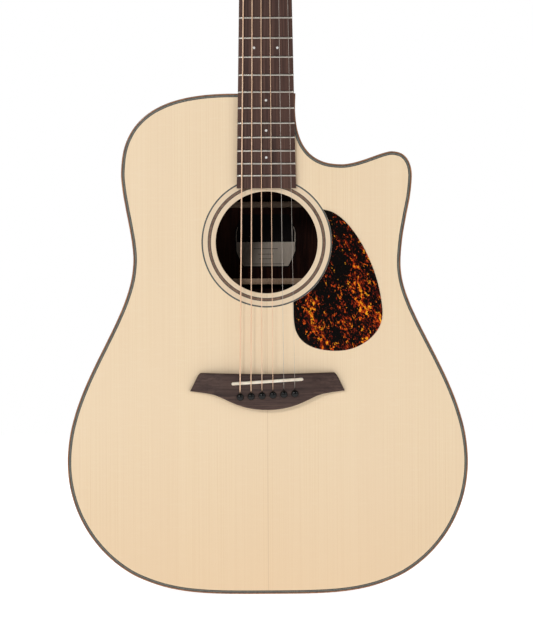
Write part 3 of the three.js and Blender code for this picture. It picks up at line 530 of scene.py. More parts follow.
def tortoise_paint():
    """Shell pattern: amber and red flakes over black, gathered in clouds that lie aslant."""
    p = Paint("tortoise", Roughness=0.12, Specular_IOR_Level=0.3)
    low = p.span(p.axis("Z"), -640, -500, 0.025, 0.0)
    right = p.span(p.axis("X"), 60, 120, -0.02, 0.05)
    warp = p.noise(p.scaled(0.09, 0.09, 0.09), roughness=0.5, output="Color")
    bent = p.vector("ADD", p.place, p.vector("MULTIPLY", warp, (0.007, 0.007, 0.007)))
    slant = (0, radians(24), 0)
    clouds = p.noise(p.scaled(0.055, 0.055, 0.03, bent, slant), roughness=0.6)
    flakes = p.noise(p.scaled(0.5, 0.5, 0.3, bent, slant), detail=4.0, roughness=0.7, distortion=0.5)
    heat = p.noise(p.scaled(0.26, 0.26, 0.14, bent, slant), detail=4.0, roughness=0.66)
    cover = p.math("ADD", p.math("ADD", clouds, low), right)
    amount = p.math("ADD", p.math("MULTIPLY", cover, 0.55), p.math("MULTIPLY", flakes, 0.9))
    glow = p.math("ADD", p.math("MULTIPLY", heat, 0.9), p.math("MULTIPLY", amount, 0.45))
    shades = p.ramp(glow, (0.75, (70, 17, 8)), (0.82, (150, 42, 15)), (0.88, (220, 84, 18)),
                    (0.93, (252, 170, 34)))
    return p.finish(p.mix(p.span(amount, 0.765, 0.808), (10, 7, 6), shades))


def bone_paint():
    p = Paint("bone", Subsurface_Weight=0.08, Subsurface_Scale=0.002, Roughness=0.35)
    cloud = p.noise(p.scaled(0.15, 0.15, 0.15))
    streak = p.noise(p.scaled(0.12, 2.0, 2.0), detail=2.0)
    base = p.ramp(cloud, (0.35, (226, 212, 190)), (0.65, (240, 230, 212)))
    base = p.mix(p.span(streak, 0.5, 0.75, 0.0, 0.25), base, (214, 196, 168))
    return p.finish(base, None, streak, 0.08, 0.04)


def plastic_paint():
    p = Paint("black_plastic", Specular_IOR_Level=0.3)
    cloud = p.noise(p.scaled(0.4, 0.4, 0.4), detail=4.0)
    return p.finish(p.ramp(cloud, (0.3, (6, 6, 6)), (0.7, (13, 12, 12))),
                    p.span(cloud, 0.3, 0.7, 0.14, 0.24), cloud, 0.05, 0.02)


def metal_paint(name, colour, darker, roughness, spread=0.14, brushed=(0.5, 0.5, 0.5), metallic=1.0):
    """Plated or polished metal with faint marks along its finish."""
    p = Paint(name, Metallic=metallic)
    marks = p.noise(p.scaled(*brushed), detail=5.0, roughness=0.7)
    film = p.noise(p.scaled(0.12, 0.12, 0.12), detail=2.0)
    base = p.ramp(marks, (0.3, darker), (0.6, colour))
    return p.finish(p.mix(p.span(film, 0.4, 0.7, 0.0, 0.5), base, colour),
                    p.span(marks, 0.35, 0.75, roughness, roughness + spread), marks, 0.05, 0.01)


def wound_paint():
    """Bronze wire wound round a core: close turns across the string, with painted shade in the grooves between
    them.
    """
    p = Paint("bronze", Metallic=0.4)
    pitch = 0.42
    wave = p.math("SINE", p.math("MULTIPLY", p.axis("Z"), 2 * pi / pitch))
    tarnish = p.noise(p.scaled(0.5, 0.5, 0.05))
    base = p.ramp(tarnish, (0.3, (240, 196, 160)), (0.7, (252, 218, 188)))
    # painted shade: the colour darkens in the grooves between the turns, besides their bumps
    return p.finish(p.mix(p.span(wave, -1.0, 0.2, 0.18, 0.0), base, (150, 106, 76)),
                    p.span(tarnish, 0.3, 0.7, 0.3, 0.42), wave, 0.4, 0.06)


def paper_paint(name, colour, darker):
    """Printed paper, with painted light and shade: darker to one side and brighter to the other, as light falls in
    through the soundhole.
    """
    p = Paint(name, Roughness=0.6, Specular_IOR_Level=0.05)
    fibre = p.noise(p.scaled(1.5, 1.5, 1.5))
    # painted light and shade across the label: darker on the left, brighter on the right, standing in for the
    # light through the soundhole
    base = p.ramp(p.span(p.axis("X"), -28, 26), (0.0, darker), (1.0, colour))
    return p.finish(p.mix(p.span(fibre, 0.3, 0.7, 0.0, 0.12), base, darker), None, fibre, 0.1, 0.03)


GLOSS = {"Coat_Weight": 0.35, "Coat_Roughness": 0.12, "Roughness": 0.32}
DARK_WOOD = (26, 13, 9), (62, 33, 22), (104, 62, 40)
PAINTS = {paint.name: paint.material for paint in (
    spruce_paint(),
    streaked_wood("rosewood", *DARK_WOOD, **GLOSS),
    streaked_wood("rosewood_raw", (20, 9, 7), (36, 18, 14), (56, 30, 22),
                  Roughness=0.7, Specular_IOR_Level=0.05),
    streaked_wood("rosewood_bent", *DARK_WOOD, (0.006, 0.25, 0.25), grain="grain", **GLOSS),
    streaked_wood("fingerboard_wood", (44, 27, 23), (74, 50, 43), (96, 68, 57), (0.5, 0.5, 0.008),
                  Roughness=0.5, Specular_IOR_Level=0.22),
    streaked_wood("bridge_wood", (42, 28, 25), (67, 49, 44), (86, 66, 58), (0.01, 0.4, 0.45),
                  Roughness=0.48, Specular_IOR_Level=0.25),
    streaked_wood("mahogany", (92, 48, 30), (132, 76, 48), (158, 98, 64), (0.2, 0.2, 0.008),
                  Roughness=0.42, Coat_Weight=0.12, Coat_Roughness=0.32),
    brace_paint("brace_spruce", (206, 174, 146), (182, 146, 116)),
    brace_paint("maple", (222, 190, 146), (196, 158, 112)),
    streaked_wood("binding_wood", (104, 62, 38), (146, 94, 58), (174, 122, 78), (0.3, 0.5, 0.03), 0.2,
                  **dict(GLOSS, Roughness=0.34)),
    line_paint("purfling", (112, 113, 104), (92, 92, 84)),
    line_paint("rosette_line", (86, 88, 84), (66, 68, 66)),
    line_paint("purfling_black", (66, 60, 54), (44, 38, 34)),
    streaked_wood("ring_wood", (82, 58, 44), (112, 84, 66), (134, 104, 84), (0.3, 0.3, 0.3), 0.3,
                  Roughness=0.38),
    tortoise_paint(),
    bone_paint(),
    plastic_paint(),
    metal_paint("chrome", (226, 228, 232), (208, 210, 216), 0.07, 0.06, (0.12, 0.12, 0.12)),
    metal_paint("steel", (206, 200, 190), (170, 164, 154), 0.26, brushed=(0.2, 2.0, 2.0)),
    metal_paint("plain_string", (206, 196, 186), (176, 166, 156), 0.36, brushed=(2.0, 2.0, 0.1),
                metallic=0.45),
    wound_paint(),
    line_paint("pearl", (238, 236, 230), (208, 208, 206)),
    paper_paint("label_paper", (22, 18, 17), (12, 10, 10)),
    paper_paint("label_panel", (212, 198, 182), (124, 114, 104)),
    line_paint("ink", (44, 42, 42), (26, 24, 24)),
)}

# ---------------------------------------------------------------- the body

rim_outline = flat_loops(*cad_mesh("top_binding"), 0)[0]
rim = np.clip(smooth(rim_outline, 3.0), rim_outline.min(0), rim_outline.max(0))
NECK_Z = float(rim[:, 1].max())
TAIL_Z = float(rim[:, 1].min())
GRAFT_HALF = 9.0


def with_point(outline, x, near_z):
    """The outline with a point at a given x added, on the run nearest a height, and that point's index."""
    best = None
    for i in range(len(outline)):
        a, b = outline[i], outline[(i + 1) % len(outline)]
        if (a[0] - x) * (b[0] - x) <= 0 and abs(a[0] - b[0]) > 1e-9:
            point = a + (b - a) * (x - a[0]) / (b[0] - a[0])
            if best is None or abs(point[1] - near_z) < abs(best[1][1] - near_z):
                best = (i, point)
    i, point = best
    for near in (i, (i + 1) % len(outline)):
        if np.linalg.norm(point - outline[near]) < 0.02:
            return outline, near
    return np.insert(outline, i + 1, point, axis=0), i + 1


def fitted_back():
    """The arched back's outer face as a function of x and z, from the CAD panel."""
    points, triangles = cad_mesh("back_panel")
    outer = set()
    for t in triangles:
        a, b, c = (points[i] for i in t)
        normal = np.cross(b - a, c - a)
        if normal[1] > 0.9 * np.linalg.norm(normal):
            outer.update(t)
    x, y, z = points[sorted(outer)].T
    weights = np.linalg.lstsq(np.stack([np.ones_like(z), z, z * z, x * x], 1), y, rcond=None)[0]
    weights[0] -= BACK_PROUD
    return lambda px, pz: weights[0] + weights[1] * pz + weights[2] * pz * pz + weights[3] * px * px


back_face = fitted_back()


def behind(offset):
    """Levels a distance from the back's outer face."""
    return lambda x, z: back_face(x, z) + offset


hole_ring = flat_loops(*cad_mesh("rosette_ring"), 0)
hole_line = flat_loops(*cad_mesh("rosette_line"), 0)
HOLE_Z = float(hole_ring[0][:, 1].mean())


def radius_of(outline):
    return float(np.hypot(outline[:, 0], outline[:, 1] - HOLE_Z).max())


RING = [radius_of(hole_ring[1]), radius_of(hole_ring[0])]
LINE = [radius_of(hole_line[1]), radius_of(hole_line[0])]
HOLE_RADIUS = max(r for r in map(radius_of, flat_loops(*cad_mesh("soundboard"), 0)) if r < RING[0] - 1)


def round_the_hole(radius):
    """Points at the outline's own bearings from the soundhole, on a circle about it."""
    angles = np.arctan2(rim[:, 1] - HOLE_Z, rim[:, 0])
    return np.stack([radius * np.cos(angles), HOLE_Z + radius * np.sin(angles)], 1)


def build_soundboard():
    ledge, purfled = PURFLING["edges"][0], PURFLING["edges"][-1]
    depth = INLAY["depth"]
    lip = 0.5
    rows = [at(round_the_hole(HOLE_RADIUS), TOP_THICKNESS)]
    rows += [at(round_the_hole(HOLE_RADIUS + lip * (1 - cos(a))), lip * (1 - sin(a))) for a in quarter(3)]
    rows.append(at(round_the_hole(HOLE_RADIUS + 0.8), 0))
    for inner, outer in (RING, LINE):
        for radius, y in ((inner, 0), (inner, depth), (outer, depth), (outer, 0)):
            rows.append(at(round_the_hole(radius), y))
    for distance, y in ((purfled, 0), (purfled, PURFLING["depth"]), (ledge, PURFLING["depth"]),
                        (ledge, TOP_THICKNESS)):
        rows.append(at(inset(rim, distance), y))
    board = mesh_object("soundboard_spruce", skin(rows, wrap_rows=True))
    carve(board, "DIFFERENCE", joined(*(pin_hole(n, -2, TOP_THICKNESS + 2) for n in STRING_NUMBERS)))
    finish_piece(board, "spruce", "soundboard", sharp=25)


def inlaid_ring(inner, outer, sides=180):
    front, back = -INLAY["proud"], INLAY["depth"]
    corners = ((inner, front), (outer, front), (outer, back), (inner, back))
    return skin([at(circle(r, sides, 0, HOLE_Z), y) for r, y in corners], wrap_rows=True)


def build_rosette():
    inner, outer = RING
    piece("rosette_wood_ring", inlaid_ring(inner + RING_EDGE, outer - RING_EDGE), "ring_wood", "rosette_ring")
    borders = joined(inlaid_ring(inner, inner + RING_EDGE), inlaid_ring(outer - RING_EDGE, outer))
    piece("rosette_ring_borders", borders, "purfling_black")
    piece("rosette_outer_line", inlaid_ring(*LINE), "rosette_line", "rosette_line")


def pin_place(number):
    low, high = cad_box_of(f"bridge_pin_{number}")
    return (low[0] + high[0]) / 2, (low[2] + high[2]) / 2


PIN_HOLE = 2.7
SLOT_REACH = 4.5


def pin_hole(number, y0, y1):
    """The hole for a bridge pin, with the slot in which its string lies, as one keyhole."""
    x, z = pin_place(number)
    half = string_radius(number) + 0.3
    start = np.degrees(acos(half / PIN_HOLE))
    slot = [[x + half, z + SLOT_REACH], [x - half, z + SLOT_REACH]]
    return plate(np.concatenate([arc(x, z, PIN_HOLE, 180 - start, 360 + start, 24), slot]), y0, y1)


def string_rings(number):
    """Centres of the CAD string's sections, from the headstock to the ball end, and its radius."""
    points, triangles = cad_mesh(f"string_{number}")
    links = {i: set() for i in range(len(points))}
    for t in triangles:
        for a in t:
            links[a].update(t)
    layer = set(int(i) for i in np.argsort(-points[:, 2])[:6])
    seen = set(layer)
    centres = []
    while layer:
        ring = points[sorted(layer)]
        centres.append(ring.mean(0))
        if len(centres) == 1:
            radius = float(np.linalg.norm(ring - centres[0], axis=1).mean())
        layer = set().union(*(links[i] for i in layer)) - seen
        seen |= layer
    return centres, radius


STRINGS = {n: string_rings(n) for n in STRING_NUMBERS}


def string_radius(number):
    return STRINGS[number][1]


def rim_band(name, profile, paint, stands_for=None):
    """A strip all round the body. The profile lists (distance from the edge, level)."""
    piece(name, skin([at(inset(rim, d), y) for d, y in profile], wrap_rows=True), paint, stands_for)


def build_edges():
    width, height, rounding = BINDING["width"], BINDING["height"], BINDING["round"]
    profile = [(width, 0)] + [(rounding * (1 - sin(a)), rounding * (1 - cos(a))) for a in quarter(4)]
    profile += [(0, height), (width, height)]
    rim_band("top_binding_strip", profile, "binding_wood", "top_binding")
    rim_band("back_binding_strip", [(d, behind(-y)) for d, y in profile], "binding_wood", "back_binding")
    depth = PURFLING["depth"]
    lines = (("outer", "purfling_black", None), ("middle", "purfling", "top_purfling"),
             ("inner", "purfling_black", None))
    for (name, paint, node), outer, inner in zip(lines, PURFLING["edges"], PURFLING["edges"][1:]):
        rim_band(f"top_purfling_{name}", ((outer, 0), (inner, 0), (inner, depth), (outer, depth)), paint, node)


def run_between(outline, start, end):
    """Indices from start to end round a closed outline."""
    return [(start + k) % len(outline) for k in range((end - start) % len(outline) + 1)]


def build_sides():
    marks = ((GRAFT_HALF, TAIL_Z), (-GRAFT_HALF, TAIL_Z), (0, NECK_Z))
    outline = rim
    for mark in marks:
        outline, _ = with_point(outline, *mark)
    right, left, top = (with_point(outline, *mark)[1] for mark in marks)
    edge, height = BINDING["width"], BINDING["height"]
    skin_depth = 0.05  # how far the sides lie below the bindings' faces
    profile = [(edge, TOP_THICKNESS), (edge, height), (skin_depth, height), (skin_depth, behind(-height)),
               (edge, behind(-height)), (edge, behind(-BACK_THICKNESS)),
               (SIDE_THICKNESS, behind(-BACK_THICKNESS)), (SIDE_THICKNESS, TOP_THICKNESS)]
    rows = [at(inset(outline, d), y) for d, y in profile]
    lengths = np.concatenate([[0], np.cumsum(np.linalg.norm(np.diff(outline, axis=0), axis=1))])
    for name, start, end, paint, node in (
        ("side_treble_rosewood", right, top, "rosewood_bent", "side_treble"),
        ("side_bass_rosewood", top, left, "rosewood_bent", "side_bass"),
        ("tail_graft", left, right, "binding_wood", None),
    ):
        run = run_between(outline, start, end)
        made = mesh_object(name, skin([r[run] for r in rows], wrap=False, wrap_rows=True))
        set_grain(made, outline, lengths)
        finish_piece(made, paint, node, sharp=28)


def set_grain(made, outline, lengths):
    """Stores each vertex's distance round the body as the figure's axis, so the grain bends with the wood."""
    attribute = made.data.attributes.new("grain", "FLOAT_VECTOR", "POINT")
    for i, vertex in enumerate(made.data.vertices):
        flat = np.array([vertex.co.x, vertex.co.z]) / MM
        nearest = int(np.argmin(np.sum((outline - flat) ** 2, 1)))
        attribute.data[i].vector = (lengths[nearest] * MM, vertex.co.y, 0)


BACK_CENTRE_Z = -602.0


def build_back():
    edge = BINDING["width"]
    outline = inset(rim, edge)
    centre = np.array([0, BACK_CENTRE_Z])
    rings = [centre + (outline - centre) * s for s in np.linspace(1, 0.06, 23)]
    shape = skin([at(r, back_face) for r in rings[::-1]] + [at(r, behind(-BACK_THICKNESS)) for r in rings])
    back = piece("back_rosewood", shape, "rosewood", "back_panel", sharp=25)
    back.data.materials.append(PAINTS["rosewood_raw"])
    for polygon in back.data.polygons:
        polygon.material_index = 1 if polygon.normal.y < -0.5 else 0
    for name, half, proud, paint in (("back_centre_strip", 1.6, 0.03, "binding_wood"),
                                     ("back_centre_lines", 2.4, 0.015, "purfling_black")):
        rows = []
        for z in np.linspace(TAIL_Z + edge, NECK_Z - edge, 60):
            face = float(back_face(0, z))
            front, deep = face + proud, face - 1
            rows.append([[-half, front, z], [half, front, z], [half, deep, z], [-half, deep, z]])
        piece(name, skin(rows), paint)
    inner = edge + 0.9
    corners = ((edge, 0.02), (inner, 0.02), (inner, -1), (edge, -1))
    rim_band("back_purfling", [(d, behind(y)) for d, y in corners], "purfling_black")


LINING = {"reach": 6.5, "depth": 13.0, "lip": 2.5, "block": 4.2, "gap": 1.3}


def build_linings():
    """Kerfed strips glued in the corners between the sides and the two plates: rows of small wedge blocks."""
    spine = inset(rim, SIDE_THICKNESS)
    inner = inset(rim, SIDE_THICKNESS + LINING["reach"])
    lengths = np.concatenate([[0], np.cumsum(np.linalg.norm(np.roll(spine, -1, 0) - spine, axis=1))])
    spine, inner = np.vstack([spine, spine[:1]]), np.vstack([inner, inner[:1]])
    pitch = LINING["block"] + LINING["gap"]
    for name, level, deep in (("lining_top", lambda x, z: TOP_THICKNESS, 1),
                              ("lining_back", behind(-BACK_THICKNESS), -1)):
        blocks = []
        for k in range(int(lengths[-1] / pitch)):
            ends = []
            for s in (k * pitch, k * pitch + LINING["block"]):
                ex, ez = (np.interp(s, lengths, spine[:, i]) for i in range(2))
                tx, tz = (np.interp(s, lengths, inner[:, i]) for i in range(2))
                foot = float(level(ex, ez))
                ends.append([[ex, foot, ez], [tx, foot, tz], [tx, foot + deep * LINING["lip"], tz],
                             [ex, foot + deep * LINING["depth"], ez]])
            x, _, z = (np.array(ends[0][0]) + np.array(ends[1][0])) / 2
            at_neck_block = z > -420 and abs(x) < 40
            at_tail_block = z < -846 and abs(x) < 48
            if not at_neck_block and not at_tail_block:
                blocks.append(skin(ends))
        piece(name, joined(*blocks), "brace_spruce")


LABEL = {"x": -1.0, "z": -508.8, "half_width": 32.2, "end_half": 24.0, "half_height": 27.8, "thick": 0.12}
PANEL = {"border": 1.3, "top": -510.0}
RULES = ((-517, 12.5), (-522.7, 8), (-527.6, 7), (-533, 19))  # height and half length of each ruled line


def label_half(z):
    """The label's half width at a height: straight in the middle, then drawn in to both ends."""
    drawn = max(0, (abs(z - LABEL["z"]) / LABEL["half_height"] - 0.35) / 0.65) ** 1.25
    return blend(LABEL["half_width"], LABEL["end_half"], drawn)


def sheet(rows, back, front):
    """A thin sheet on the inside of the back, from rows of x and z, between two distances from that face."""
    layers = [at(r, behind(-BACK_THICKNESS - front)) for r in rows]
    layers += [at(r, behind(-BACK_THICKNESS - back)) for r in rows[::-1]]
    return skin(layers, wrap=False, wrap_rows=True)


def label_row(z, border):
    half = label_half(z) - border
    return np.stack([LABEL["x"] + np.linspace(-half, half, 25), np.full(25, z)], 1)


def build_label():
    """A dark paper label inside the back, with a silvery panel and a few ruled lines to write on."""
    low, high = LABEL["z"] - LABEL["half_height"], LABEL["z"] + LABEL["half_height"]
    thick, border = LABEL["thick"], PANEL["border"]
    piece("inner_label", sheet([label_row(z, 0) for z in np.linspace(low, high, 31)], 0, thick),
          "label_paper")
    heights = np.linspace(low + border, PANEL["top"], 15)
    piece("label_panel", sheet([label_row(z, border) for z in heights], thick, 1.5 * thick), "label_panel")
    edges = []
    for side in (-1, 1):
        rows = []
        for z in np.linspace(PANEL["top"], high - 13, 12):
            edge = LABEL["x"] + side * (label_half(z) - border)
            rows.append(np.array([[edge - 0.35, z], [edge + 0.35, z]]))
        edges.append(sheet(rows, thick, 1.5 * thick))
    piece("label_border", joined(*edges), "label_panel")
    rules = []
    for z, half in RULES:
        x = LABEL["x"] + np.linspace(-half, half, 9)
        rows = [np.stack([x, np.full(9, z + side)], 1) for side in (-0.3, 0.3)]
        rules.append(sheet(rows, 1.5 * thick, 2 * thick))
    piece("label_rules", joined(*rules), "ink")


def build_pickguard():
    front = -0.8
    outline = smooth(flat_loops(*cad_mesh("pickguard"), front)[0], 2.0, corner=45)
    piece("pickguard_shell", plate(outline, front, 0, front_round=0.35), "tortoise", "pickguard")


# ---------------------------------------------------------------- the neck

nut_low, nut_high = cad_box_of("nut")
board_points, _ = cad_mesh("fingerboard")
BOARD_END = float(board_points[:, 2].min())
NUT_WIDTH = float(nut_high[0] - nut_low[0])
END_WIDTH = float(2 * board_points[np.abs(board_points[:, 2] - BOARD_END) < 0.1][:, 0].max())
cap_low, cap_high = cad_box_of("heel_cap")


def board_width(z):
    return blend(NUT_WIDTH, END_WIDTH, z / BOARD_END)


def fret_z(number):
    return SCALE_LENGTH * (2 ** (-number / 12) - 1)


def between_frets(number):
    return (fret_z(number) + fret_z(number - 1)) / 2


def crown(x):
    """How far a crowned face has fallen at x."""
    return x * x / (2 * ACTION_RADIUS)


def build_fingerboard():
    eased = 0.965
    rows = []
    for z in np.linspace(BOARD_END, 0, 40):
        half = board_width(z) / 2
        ring = [[half, 0, z]]
        for s in np.linspace(1, -1, 33):
            drop = 0.6 * max(0, abs(s) - eased) / (1 - eased)
            ring.append([s * half, crown(s * half) - BOARD_THICKNESS + drop ** 2 * 0.6, z])
        rows.append(ring + [[-half, 0, z]])
    piece("fingerboard_blank", skin(rows), "fingerboard_wood", "fingerboard")


def build_frets():
    """Each fret is a crowned wire across the board, with its two ends filed to a slope."""
    wide = FRET["width"] / 2
    for number in range(1, FRET_COUNT + 1):
        z = fret_z(number)
        half = board_width(z) / 2
        inner = half - FRET["end_bevel"]
        rows = []
        for x in [-half, -half + 0.25, *np.linspace(-inner, inner, 21), half - 0.25, half]:
            rise = FRET["height"] * min(1, 0.25 + 0.75 * (half - abs(x)) / FRET["end_bevel"])
            base = crown(x) - BOARD_THICKNESS
            ring = [[x, base + FRET["seat"], z + wide], [x, base + FRET["seat"], z - wide]]
            ring += [[x, base - rise * sin(pi * k / 8) ** 0.8, z - wide * cos(pi * k / 8)] for k in range(9)]
            rows.append(ring)
        piece(f"fret_{number}", skin(rows), "steel", sharp=40)


def dot_face(x, z):
    """The level of a dot's face, a touch proud of the fingerboard."""
    return crown(x) - BOARD_THICKNESS - 0.03


def build_position_dots():
    radius, pair = 1.25, 11.85
    dots = []
    for x, number in [(0, n) for n in (3, 5, 7, 9, 15, 17, 19)] + [(-pair, 12), (pair, 12)]:
        z = between_frets(number) - 0.4
        rows = [at(circle(r, 28, x, z), dot_face) for r in (0.3, 0.8, radius)]
        rows.append(at(circle(radius, 28, x, z), -BOARD_THICKNESS + 1.2))
        dots.append(skin(rows))
    piece("position_dots", joined(*dots), "pearl")
    marks = []
    for number, shift in ((3, 0), (5, 0), (7, 0), (9, 0), (12, -4), (12, 4), (15, 0), (17, 0)):
        z = between_frets(number) + shift
        edge = -board_width(z) / 2
        marks.append(lathe_x([(1.0, edge + 0.8), (1.0, edge - 0.03)], 20, -2.6, z))
    piece("side_dots", joined(*marks), "pearl")


HEEL = {"sweep": 11.0, "half": 15.0, "nut_depth": 14.5, "body_depth": 16.5, "flank": 6 / 7}
SUNK = 3.0  # how far the neck's end starts below the headstock's face
SCOOP = {"length": 40.0, "half": NUT_WIDTH / 2, "depth": 13.4, "far_half": 46.0, "far_depth": 16.0}
TRUSS = {"half": 5.2, "top": 26.0, "depth": 10.2, "channel": 3.3}


def neck_ring(z, steps=42):
    """The neck's section: a rounded D that turns into the deep, narrow heel."""
    half = board_width(min(z, 0)) / 2
    shaft = blend(HEEL["nut_depth"], HEEL["body_depth"], min(max(z / NECK_Z, 0), 1))
    tip = cap_high[2]
    above = max(z - tip, 0)
    depth = blend(shaft, cap_low[1], exp(-above / HEEL["sweep"]))
    heel = exp(-above / (1.6 * HEEL["sweep"]))
    t = min(max((tip - z) / (tip - NECK_Z), 0), 1)
    cap_half = max(HEEL["half"] * sqrt(t * (2 - t)), 3)
    side = []
    for k in range(steps + 1):
        u = k / steps
        a = pi / 2 * u
        flank = min(u / HEEL["flank"], 1)
        shaft_x, shaft_y = half * cos(a) ** 0.85, depth * sin(a) ** 0.9
        heel_x = cap_half + (half - cap_half) * (1 - flank) ** 1.7
        if u > HEEL["flank"]:
            heel_x = cap_half * (1 - u) / (1 - HEEL["flank"])
        side.append([max(blend(shaft_x, heel_x, heel), 0), blend(shaft_y, depth * flank, heel)])
    side[-1][0] = 0
    face = max(0, (z - HEAD["z"]) * tan(TILT) + SUNK) if z > 0 else 0
    return [[x, face + y * (1 - face / depth), z] for x, y in both_sides(side)]


def both_sides(side):
    return side + [[-x, y] for x, y in side[-2::-1]]


def scoop():
    """What the headstock keeps near the nut: the neck's round back, opening out to the full square section."""
    rows = []
    for v in [-6, *np.linspace(0, SCOOP["length"], 15), 220]:
        share = ease(v, 0, SCOOP["length"])
        half = blend(SCOOP["half"], SCOOP["far_half"], share)
        depth = blend(SCOOP["depth"], SCOOP["far_depth"], share)
        bend = 1 - 0.86 * share
        side = [[half * cos(a) ** (0.85 * bend), depth * sin(a) ** (0.9 * bend)] for a in quarter(24)]
        side[-1][0] = 0
        rows.append([[x, y, v] for x, y in [[half, -2], *both_sides(side), [-half, -2]]])
    return skin(rows)


plate_points, plate_triangles = cad_mesh("headplate")
notched = flat_loops(to_head(plate_points), plate_triangles, -HEAD["plate"])[0]
whole = (np.abs(notched[:, 0]) > TRUSS["half"] + 1) | (notched[:, 1] > TRUSS["top"] + 1)
head_outline = smooth(notched[whole], 2.5, corner=60)
TUNERS = {}
for n in STRING_NUMBERS:
    post, worm = (to_head(np.array(joint_named[f"tuner_{n}_{part}_turn"]["pos_m"]) / MM)
                  for part in ("post", "knob"))
    TUNERS[n] = {"x": float(post[0]), "y": float(post[1]), "v": float(post[2]), "worm_v": float(worm[2]),
                 "side": 1 if post[0] > 0 else -1}

BUSHING_HOLE = 5.2


def tuner_holes(y0, y1):
    profile = [(BUSHING_HOLE, y0), (BUSHING_HOLE, y1)]
    return joined(*(lathe(profile, 32, t["x"], t["v"]) for t in TUNERS.values()))


def truss_pocket(back):
    return moved(box_shape(-TRUSS["half"], TRUSS["half"], -6, back, -1, TRUSS["top"]), from_head)


def build_neck():
    heights = [*np.arange(NECK_Z, -276, 2.6), *np.linspace(-276, -6, 24), 0, 3, 6, 9, 13]
    blank = head_outline.copy()
    blank[blank[:, 1] < 1, 1] = 0
    body = mesh_object("neck_mahogany", moved(plate(blank, 0, HEAD["thickness"], back_round=1.6), from_head))
    carve(body, "INTERSECT", moved(scoop(), from_head))
    carve(body, "UNION", skin([neck_ring(float(z)) for z in heights]))
    channel = box_shape(-TRUSS["channel"], TRUSS["channel"], -1, TRUSS["depth"], -352, 6)
    carve(body, "DIFFERENCE", channel, truss_pocket(TRUSS["depth"]), moved(tuner_holes(-5, 20), from_head))
    finish_piece(body, "mahogany", "neck", sharp=34)
    cap = smooth(flat_loops(*cad_mesh("heel_cap"), cap_high[1])[0], 1.5, corner=60)
    piece("heel_cap_rosewood", plate(cap, cap_low[1], cap_high[1], back_round=0.5), "rosewood", "heel_cap")


def build_head():
    veneer = plate(head_outline, -HEAD["plate"], 0, front_round=0.4)
    face = mesh_object("headplate_rosewood", moved(veneer, from_head))
    carve(face, "DIFFERENCE", moved(tuner_holes(-6, 3), from_head), truss_pocket(3))
    finish_piece(face, "rosewood", "headplate")
    points, triangles = cad_mesh("truss_cover")
    local = to_head(points)
    front = float(local[:, 1].min())
    outline = smooth(flat_loops(local, triangles, front)[0], 1.2, corner=60)
    bell = plate(outline, front, -HEAD["plate"], front_round=0.5)
    head_piece("truss_cover_bell", bell, "black_plastic", "truss_cover")
    screws = [screw(x, front, v, 1.5) for x, v in ((-6.2, 4.6), (6.2, 4.6), (0, 30))]
    head_piece("truss_cover_screws", joined(*screws), "steel")


def screw(x, y, v, radius, facing=-1, depth=0.5):
    """A round-headed screw with a cross cut, standing on a face at y."""
    rim_height = 0.15
    profile = [(radius, y)]
    profile += [(radius * cos(a) * 0.98, y + facing * (rim_height + depth * sin(a))) for a in quarter(5)]
    top = y + facing * (rim_height + depth + 0.02)
    bar, arm = 0.14 * radius, 0.6 * radius
    arms = [box_shape(x - w, x + w, top, y, v - h, v + h) for w, h in ((bar, arm), (arm, bar))]
    return joined(lathe(profile, 24, x, v), *arms)


# ---------------------------------------------------------------- the bridge

bridge_points, bridge_triangles = cad_mesh("bridge")
bridge_outline = smooth(flat_loops(bridge_points, bridge_triangles, 0)[0], 1.5, corner=40)
BRIDGE_TOP = float(-bridge_points[:, 1].min())
BRIDGE_HALF = float(bridge_points[:, 0].max())
BRIDGE_BEVEL = 1.5
WING = {"start": 44, "fall": 4.6}
saddle_points, _ = cad_mesh("saddle")
SADDLE_SLOPE, SADDLE_Z = (float(c) for c in np.polyfit(saddle_points[:, 0], saddle_points[:, 2], 1))
SADDLE_HALF = float(saddle_points[:, 0].max())
SADDLE_WIDTH = 3.2
SADDLE_CREST = float(-saddle_points[:, 1].min())
SADDLE_FOOT = float(-saddle_points[:, 1].max())


def bridge_height(x):
    """Flat in the middle, then a hollow sweep down to the wings' tips."""
    return BRIDGE_TOP - WING["fall"] * ease(abs(x), WING["start"], BRIDGE_HALF) ** 0.8


def build_bridge():
    left, right = int(np.argmin(bridge_outline[:, 0])), int(np.argmax(bridge_outline[:, 0]))
    lower = bridge_outline[run_between(bridge_outline, left, right)]
    upper = bridge_outline[run_between(bridge_outline, right, left)][::-1]
    rows = []
    for x in BRIDGE_HALF * np.sin(np.linspace(-pi / 2, pi / 2, 121)):
        x = float(np.clip(x, -BRIDGE_HALF + 0.02, BRIDGE_HALF - 0.02))
        z0, z1 = (float(np.interp(x, edge[:, 0], edge[:, 1])) for edge in (lower, upper))
        height = bridge_height(x)
        bevel = min(BRIDGE_BEVEL, 0.22 * (z1 - z0), 0.6 * height)
        foot = bevel - height
        reach = min(0.4, 0.2 * (z1 - z0 - 2 * bevel))
        ring = [[x, 0, z0]]
        ring += [[x, foot - bevel * sin(a), z0 + bevel * (1 - cos(a))] for a in quarter(4)]
        ring += [[x, -height, z0 + bevel + reach], [x, -height, z1 - bevel - reach]]
        ring += [[x, foot - bevel * cos(a), z1 - bevel * (1 - sin(a))] for a in quarter(4)]
        rows.append(ring + [[x, 0, z1]])
    bridge = mesh_object("bridge_rosewood", skin(rows))
    carve(bridge, "DIFFERENCE", saddle_shape(0.12, -BRIDGE_TOP - 4, -SADDLE_FOOT + 0.3),
          joined(*(pin_hole(n, -14, 2) for n in STRING_NUMBERS)),
          joined(*(string_ramp(n) for n in STRING_NUMBERS)))
    finish_piece(bridge, "bridge_wood", "bridge", sharp=28)


